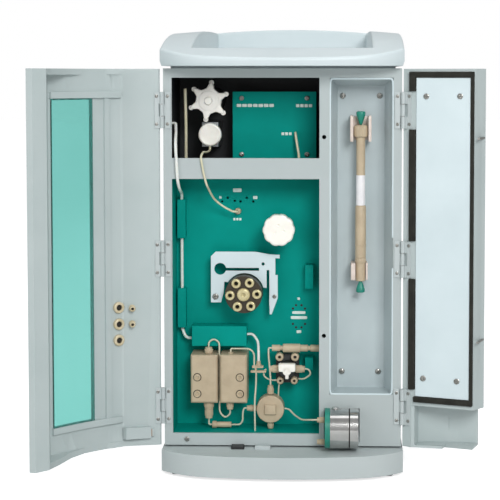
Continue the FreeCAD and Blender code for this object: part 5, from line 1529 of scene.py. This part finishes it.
@dataclass
class Doors(Assembly):
    """The two bowed doors with their hinges, window, ports, seal and inner plate.

    A spot is across and in depth from the hinge line, with the door closed, and a facing is the way that
    a piece faces there.

    Attributes:
        edge: width of the rounding on the mouldings' edges.
        hinge_tall: height of one hinge.
        hinge_room: gap between a hinge and the seal above and below it.
        seal_turn: turn of the upright bars of the seal, in degrees.
        discs: heights of the three ring ports.
        disc_spot: their spot on the left door.
        disc_facing: their facing.
        nipples: heights of the two hose nipples.
        nipple_spot: their spot on the left door.
        nipple_facing: their facing.
        plate_spots: across and up, of each screw of the right door's plate.
        plate_face: depth of the plate's face, from the hinge line.
        catch_spot: the catch's spot on the left door.
        catch_facing: its facing.
        catch_rise: its height over the door's foot.
    """

    edge: float = 0.8
    hinge_tall: float = 37.8
    hinge_room: float = 0.8
    seal_turn: float = -20.0
    discs: tuple = (175.4, 158.0, 141.2)
    disc_spot: tuple[float, float] = (36.5, -28.488)
    disc_facing: tuple[float, float, float] = (0.3168, 0.9485, 0.0)
    nipples: tuple = (174.1, 157.6)
    nipple_spot: tuple[float, float] = (24.0, -21.11)
    nipple_facing: tuple[float, float, float] = (0.6228, 0.7824, 0.0)
    plate_spots: tuple = ((-25.2, 394.7), (-61.0, 394.9), (-23.1, 102.5), (-59.0, 102.0))
    plate_face: float = 1.1
    catch_spot: tuple[float, float] = (10.7, -7.55)
    catch_facing: tuple[float, float, float] = (0.566, 0.824, 0.0)
    catch_rise: float = 14.0

    def build(self) -> None:
        """Rounds the mouldings, dresses the rest and draws seal, ports, catch and the plate's screws."""
        self.soften("left_door_shell", self.edge, Finishes.DOOR_SKIN, Body.LEFT_DOOR)
        self.soften("right_door_shell", self.edge, Finishes.DOOR_SKIN, Body.RIGHT_DOOR)
        self.seal()
        self.soften("right_door_plate", 0.4, Finishes.PALE_SHEET, Body.RIGHT_DOOR, 2)
        self.soften("left_door_window", 0.3, Finishes.TEAL_ACRYLIC, Body.LEFT_DOOR, 2)
        self.ports()
        self.catch()
        self.dress(Finishes.CABINET_PAINT, "cabinet_hinge_leaves", "left_door_hinge_leaves",
                   "right_door_hinge_leaves")
        self.dress(Finishes.SCREW_STEEL, "hinge_pins", "right_door_catches")
        head = Screw(3.0, 1.3, 0.35, 1.7, 0.6)
        heads = [head.skin(RIGHT.place((across, self.plate_face, z), (0, 1, 0), 25.0 * number))
                 for number, (across, z) in enumerate(self.plate_spots)]
        self.draw("plate_screws", heads, Finishes.SCREW_STEEL, Body.RIGHT_DOOR, ["right_door_screws"])

    def catch(self) -> None:
        """Draws the brown nylon strip of the catch on the left door's tongue, near its foot."""
        strip = [(0, 0), (1.1, 0), (1.15, 0.5), (1.1, 1.3), (0.85, 1.6), (0, 1.65)]
        height = 1000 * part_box("left_door_shell")[0][2] + self.catch_rise
        place = LEFT.place((self.catch_spot[0], self.catch_spot[1], height), self.catch_facing)
        self.draw("door_catch", [turned(strip, 48, box_outline(7.4 / 2.2, 6.0)).at(place)],
                  Finishes.CATCH_BROWN, Body.LEFT_DOOR)

    def seal(self) -> None:
        """Draws the foam seal on the right door: bars of rounded section, with gaps for the hinges."""
        low, high = (1000 * corner[2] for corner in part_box("right_door_gasket"))
        edges = [low]
        for row in sorted(HINGE_ROWS):
            edges += [row - self.hinge_room, row + self.hinge_tall + self.hinge_room]
        edges.append(high)
        bars = [self.seal_bar((-73.9, 0.5, low), UP, high - low, (3.4, 4.2))]
        bars += [self.seal_bar((-10.4, 0.5, start), UP, end - start, (7.0, 4.2))
                 for start, end in zip(edges[0::2], edges[1::2]) if end - start > 4]
        bars += [self.seal_bar((-start, 0.5, height), (-1, 0, 0), 75.2 - start, (4.2, 6.0))
                 for start, height in ((12.6, low + 3.0), (7.2, high - 3.0))]
        self.draw("door_seal", bars, Finishes.SEAL_RUBBER, Body.RIGHT_DOOR, ["right_door_gasket"])

    def seal_bar(self, spot: tuple[float, float, float], along: tuple[float, float, float], length: float,
                 section: tuple[float, float]) -> Skin:
        """Gives one straight bar of the seal.

        Args:
            spot: its foot, in the right door's axes.
            along: the way that it runs.
            length: its length.
            section: width and thickness of its section.

        Returns:
            The bar's skin. An upright bar is turned with the bow of the door.
        """
        width, thick = section
        shape = [(0, 0), (width / 2 - 0.3, 0), (width / 2, 0.4), (width / 2, length - 0.4),
                 (width / 2 - 0.3, length), (0, length)]
        turn = self.seal_turn if along == UP else 0.0
        return turned(shape, 40, box_outline(thick / width, 6.0)).at(RIGHT.place(spot, along, turn))

    def ports(self) -> None:
        """Draws the three brass rings on the skin and the two hose nipples on the facet, with a disc of painted shade
        in each bore.
        """
        ring = [(0, 0), (5.9, 0), (5.9, 2.3), (5.4, 2.95), (4.6, 3.2), (3.5, 3.2), (3.1, 2.8), (3.0, 1.2),
                (0, 1.0)]
        # Near-black discs at the floor of each bore: painted shade.
        ring_bore_shade = [(0, 1.1), (2.9, 1.1), (2.9, 1.5), (0, 1.6)]
        nipple = [(0, 0), (3.5, 0), (3.5, 1.6), (2.8, 2.1), (2.8, 4.9), (3.25, 5.4), (2.6, 7.2), (2.3, 7.5),
                  (1.7, 7.5), (1.5, 7.1), (1.4, 4.8), (0, 4.6)]
        nipple_bore_shade = [(0, 4.7), (1.35, 4.7), (1.35, 5.2), (0, 5.3)]
        kinds = ((self.discs, self.disc_spot, self.disc_facing, turned(ring, 64), turned(ring_bore_shade, 40)),
                 (self.nipples, self.nipple_spot, self.nipple_facing, turned(nipple, 48),
                  turned(nipple_bore_shade, 32)))
        brass, dark = [], []
        for heights, (across, depth), facing, metal, floor in kinds:
            for z in heights:
                place = LEFT.place((across, depth, z), facing)
                brass.append(metal.at(place))
                dark.append(floor.at(place))
        self.draw("door_hose_ports", brass, Finishes.PORT_BRASS, Body.LEFT_DOOR, ["left_door_ports"])
        self.draw("door_hose_bore_shades", dark, Finishes.BORE_SHADE, Body.LEFT_DOOR)


@dataclass
class Insides(Assembly):
    """What shows at the back: fan, mains inlet and the drives behind the panels."""

    def build(self) -> None:
        """Dresses the nodes at the back and inside."""
        self.dress(Finishes.ZINC_SHEET, "rear_drives", "power_supply")
        self.dress(Finishes.BLACK_NYLON, "fan_frame", "fan_impeller", "mains_inlet")


@dataclass
class Studio:
    """Camera, lamps, floor and the white room round the object. Lengths are in metres.

    Attributes:
        spot: where the camera stands, in the frame.
        yaw: the camera's turn about the upright, in degrees.
        pitch: how far it looks up from the level, in degrees.
        lens: focal length in millimetres, for a sensor 36 mm wide.
        shift: shift of the picture across and up, in sensor widths.
        bench_half: half the side of the bench top.
    """

    spot: tuple[float, float, float] = (0.07893, -1.66519, 0.41658)
    yaw: float = 1.7116
    pitch: float = -3.2381
    lens: float = 108.155
    shift: tuple[float, float] = (-0.09, -0.18)
    bench_half: float = 12.0

    def camera(self) -> None:
        """Sets the camera that was fitted to the photograph's corners."""
        data = bpy.data.cameras.new("photo_camera")
        data.lens = self.lens
        data.sensor_width = 36
        data.shift_x, data.shift_y = self.shift
        data.clip_start, data.clip_end = 0.05, 50
        camera = bpy.data.objects.new("photo_camera", data)
        camera.location = self.spot
        camera.rotation_euler = (math.radians(90 + self.pitch), 0, math.radians(self.yaw))
        bpy.context.scene.collection.objects.link(camera)
        bpy.context.scene.camera = camera

    def lamp(self, name: str, spot: tuple[float, float, float], aim: tuple[float, float, float], size: float,
             power: float) -> None:
        """Adds a square soft lamp.

        Args:
            name: the lamp's name.
            spot: where it hangs, in metres.
            aim: the point that it faces.
            size: its side, in metres.
            power: its power in watts.
        """
        data = bpy.data.lights.new(name, "AREA")
        data.size = size
        data.energy = power
        lamp = bpy.data.objects.new(name, data)
        lamp.location = spot
        heading = Vector(aim) - Vector(spot)
        lamp.rotation_euler = heading.to_track_quat("-Z", "Y").to_euler()
        bpy.context.scene.collection.objects.link(lamp)

    @staticmethod
    def seen_level(tree: bpy.types.NodeTree, least: float, most: float) -> bpy.types.NodeSocket:
        """Adds nodes that tell what the camera sees, itself or through glass, from what lights the object.

        Args:
            tree: the node tree.
            least: the level for the rays that light the object.
            most: the level for the rays that the camera sees.

        Returns:
            The socket with the level.
        """
        rays = add_node(tree, "ShaderNodeLightPath")
        seen = add_node(tree, "ShaderNodeMath", {"operation": "MAXIMUM"},
                        {0: rays.outputs["Is Camera Ray"], 1: rays.outputs["Is Transmission Ray"]})
        level = add_node(tree, "ShaderNodeMapRange", {"To Min": least, "To Max": most},
                         {"Value": seen.outputs[0]})
        return level.outputs["Result"]

    def room(self) -> None:
        """White world: seen white, and a plain pale light for everything else."""
        world = bpy.data.worlds.new("white_room")
        world.use_nodes = True
        tree = world.node_tree
        tree.nodes.clear()
        light = add_node(tree, "ShaderNodeBackground", {"Color": (1, 1, 1, 1)},
                         {"Strength": self.seen_level(tree, 0.4, 1.0)})
        add_node(tree, "ShaderNodeOutputWorld", {}, {"Surface": light.outputs[0]})
        bpy.context.scene.world = world

    def floor(self) -> None:
        """Pale bench top that is seen white and keeps the object's shadow."""
        half = self.bench_half
        mesh = bpy.data.meshes.new("bench_top")
        corners = [(-half, -half, 0), (half, -half, 0), (half, half, 0), (-half, half, 0)]
        mesh.from_pydata(corners, [], [(0, 1, 2, 3)])
        bench = bpy.data.objects.new("bench_top", mesh)
        bpy.context.scene.collection.objects.link(bench)
        made = bpy.data.materials.new("bench_white")
        made.use_nodes = True
        tree = made.node_tree
        tree.nodes.clear()
        plain = add_node(tree, "ShaderNodeBsdfDiffuse", {"Color": (0.8, 0.8, 0.8, 1)})
        glow = add_node(tree, "ShaderNodeEmission", {"Color": (1, 1, 1, 1)},
                        {"Strength": self.seen_level(tree, 0.0, 0.72)})
        both = add_node(tree, "ShaderNodeAddShader", {}, {0: plain.outputs[0], 1: glow.outputs[0]})
        add_node(tree, "ShaderNodeOutputMaterial", {}, {"Surface": both.outputs[0]})
        mesh.materials.append(made)

    def build(self) -> None:
        """Sets up camera, lamps, room and floor, with plain colours."""
        self.camera()
        self.room()
        self.floor()
        self.lamp("key_lamp", (0.7, -2.15, 1.3), (0.0, -0.1, 0.22), 0.8, 32)
        self.lamp("fill_lamp", (-1.5, -2.1, 0.9), (0.0, -0.1, 0.2), 1.8, 10)
        self.lamp("top_lamp", (0.0, 0.0, 1.9), (0.0, 0.0, 0.3), 1.4, 9)
        bpy.context.scene.view_settings.view_transform = "Standard"


def main() -> None:
    """Builds the studio, then each sub-assembly in order."""
    logging.basicConfig(level=logging.INFO, format="%(name)s: %(message)s")
    Studio().build()
    for assembly in (Housing(), UpperBay(), WetEnd(), InjectionValve(), PumpAndPlumbing(), Fasteners(),
                     ColumnBay(), Detector(), Doors(), Insides()):
        assembly.build()
        for piece in assembly.pieces:
            LOG.info("%s: %s", type(assembly).__name__, piece)


if __name__ == "__main__":
    main()
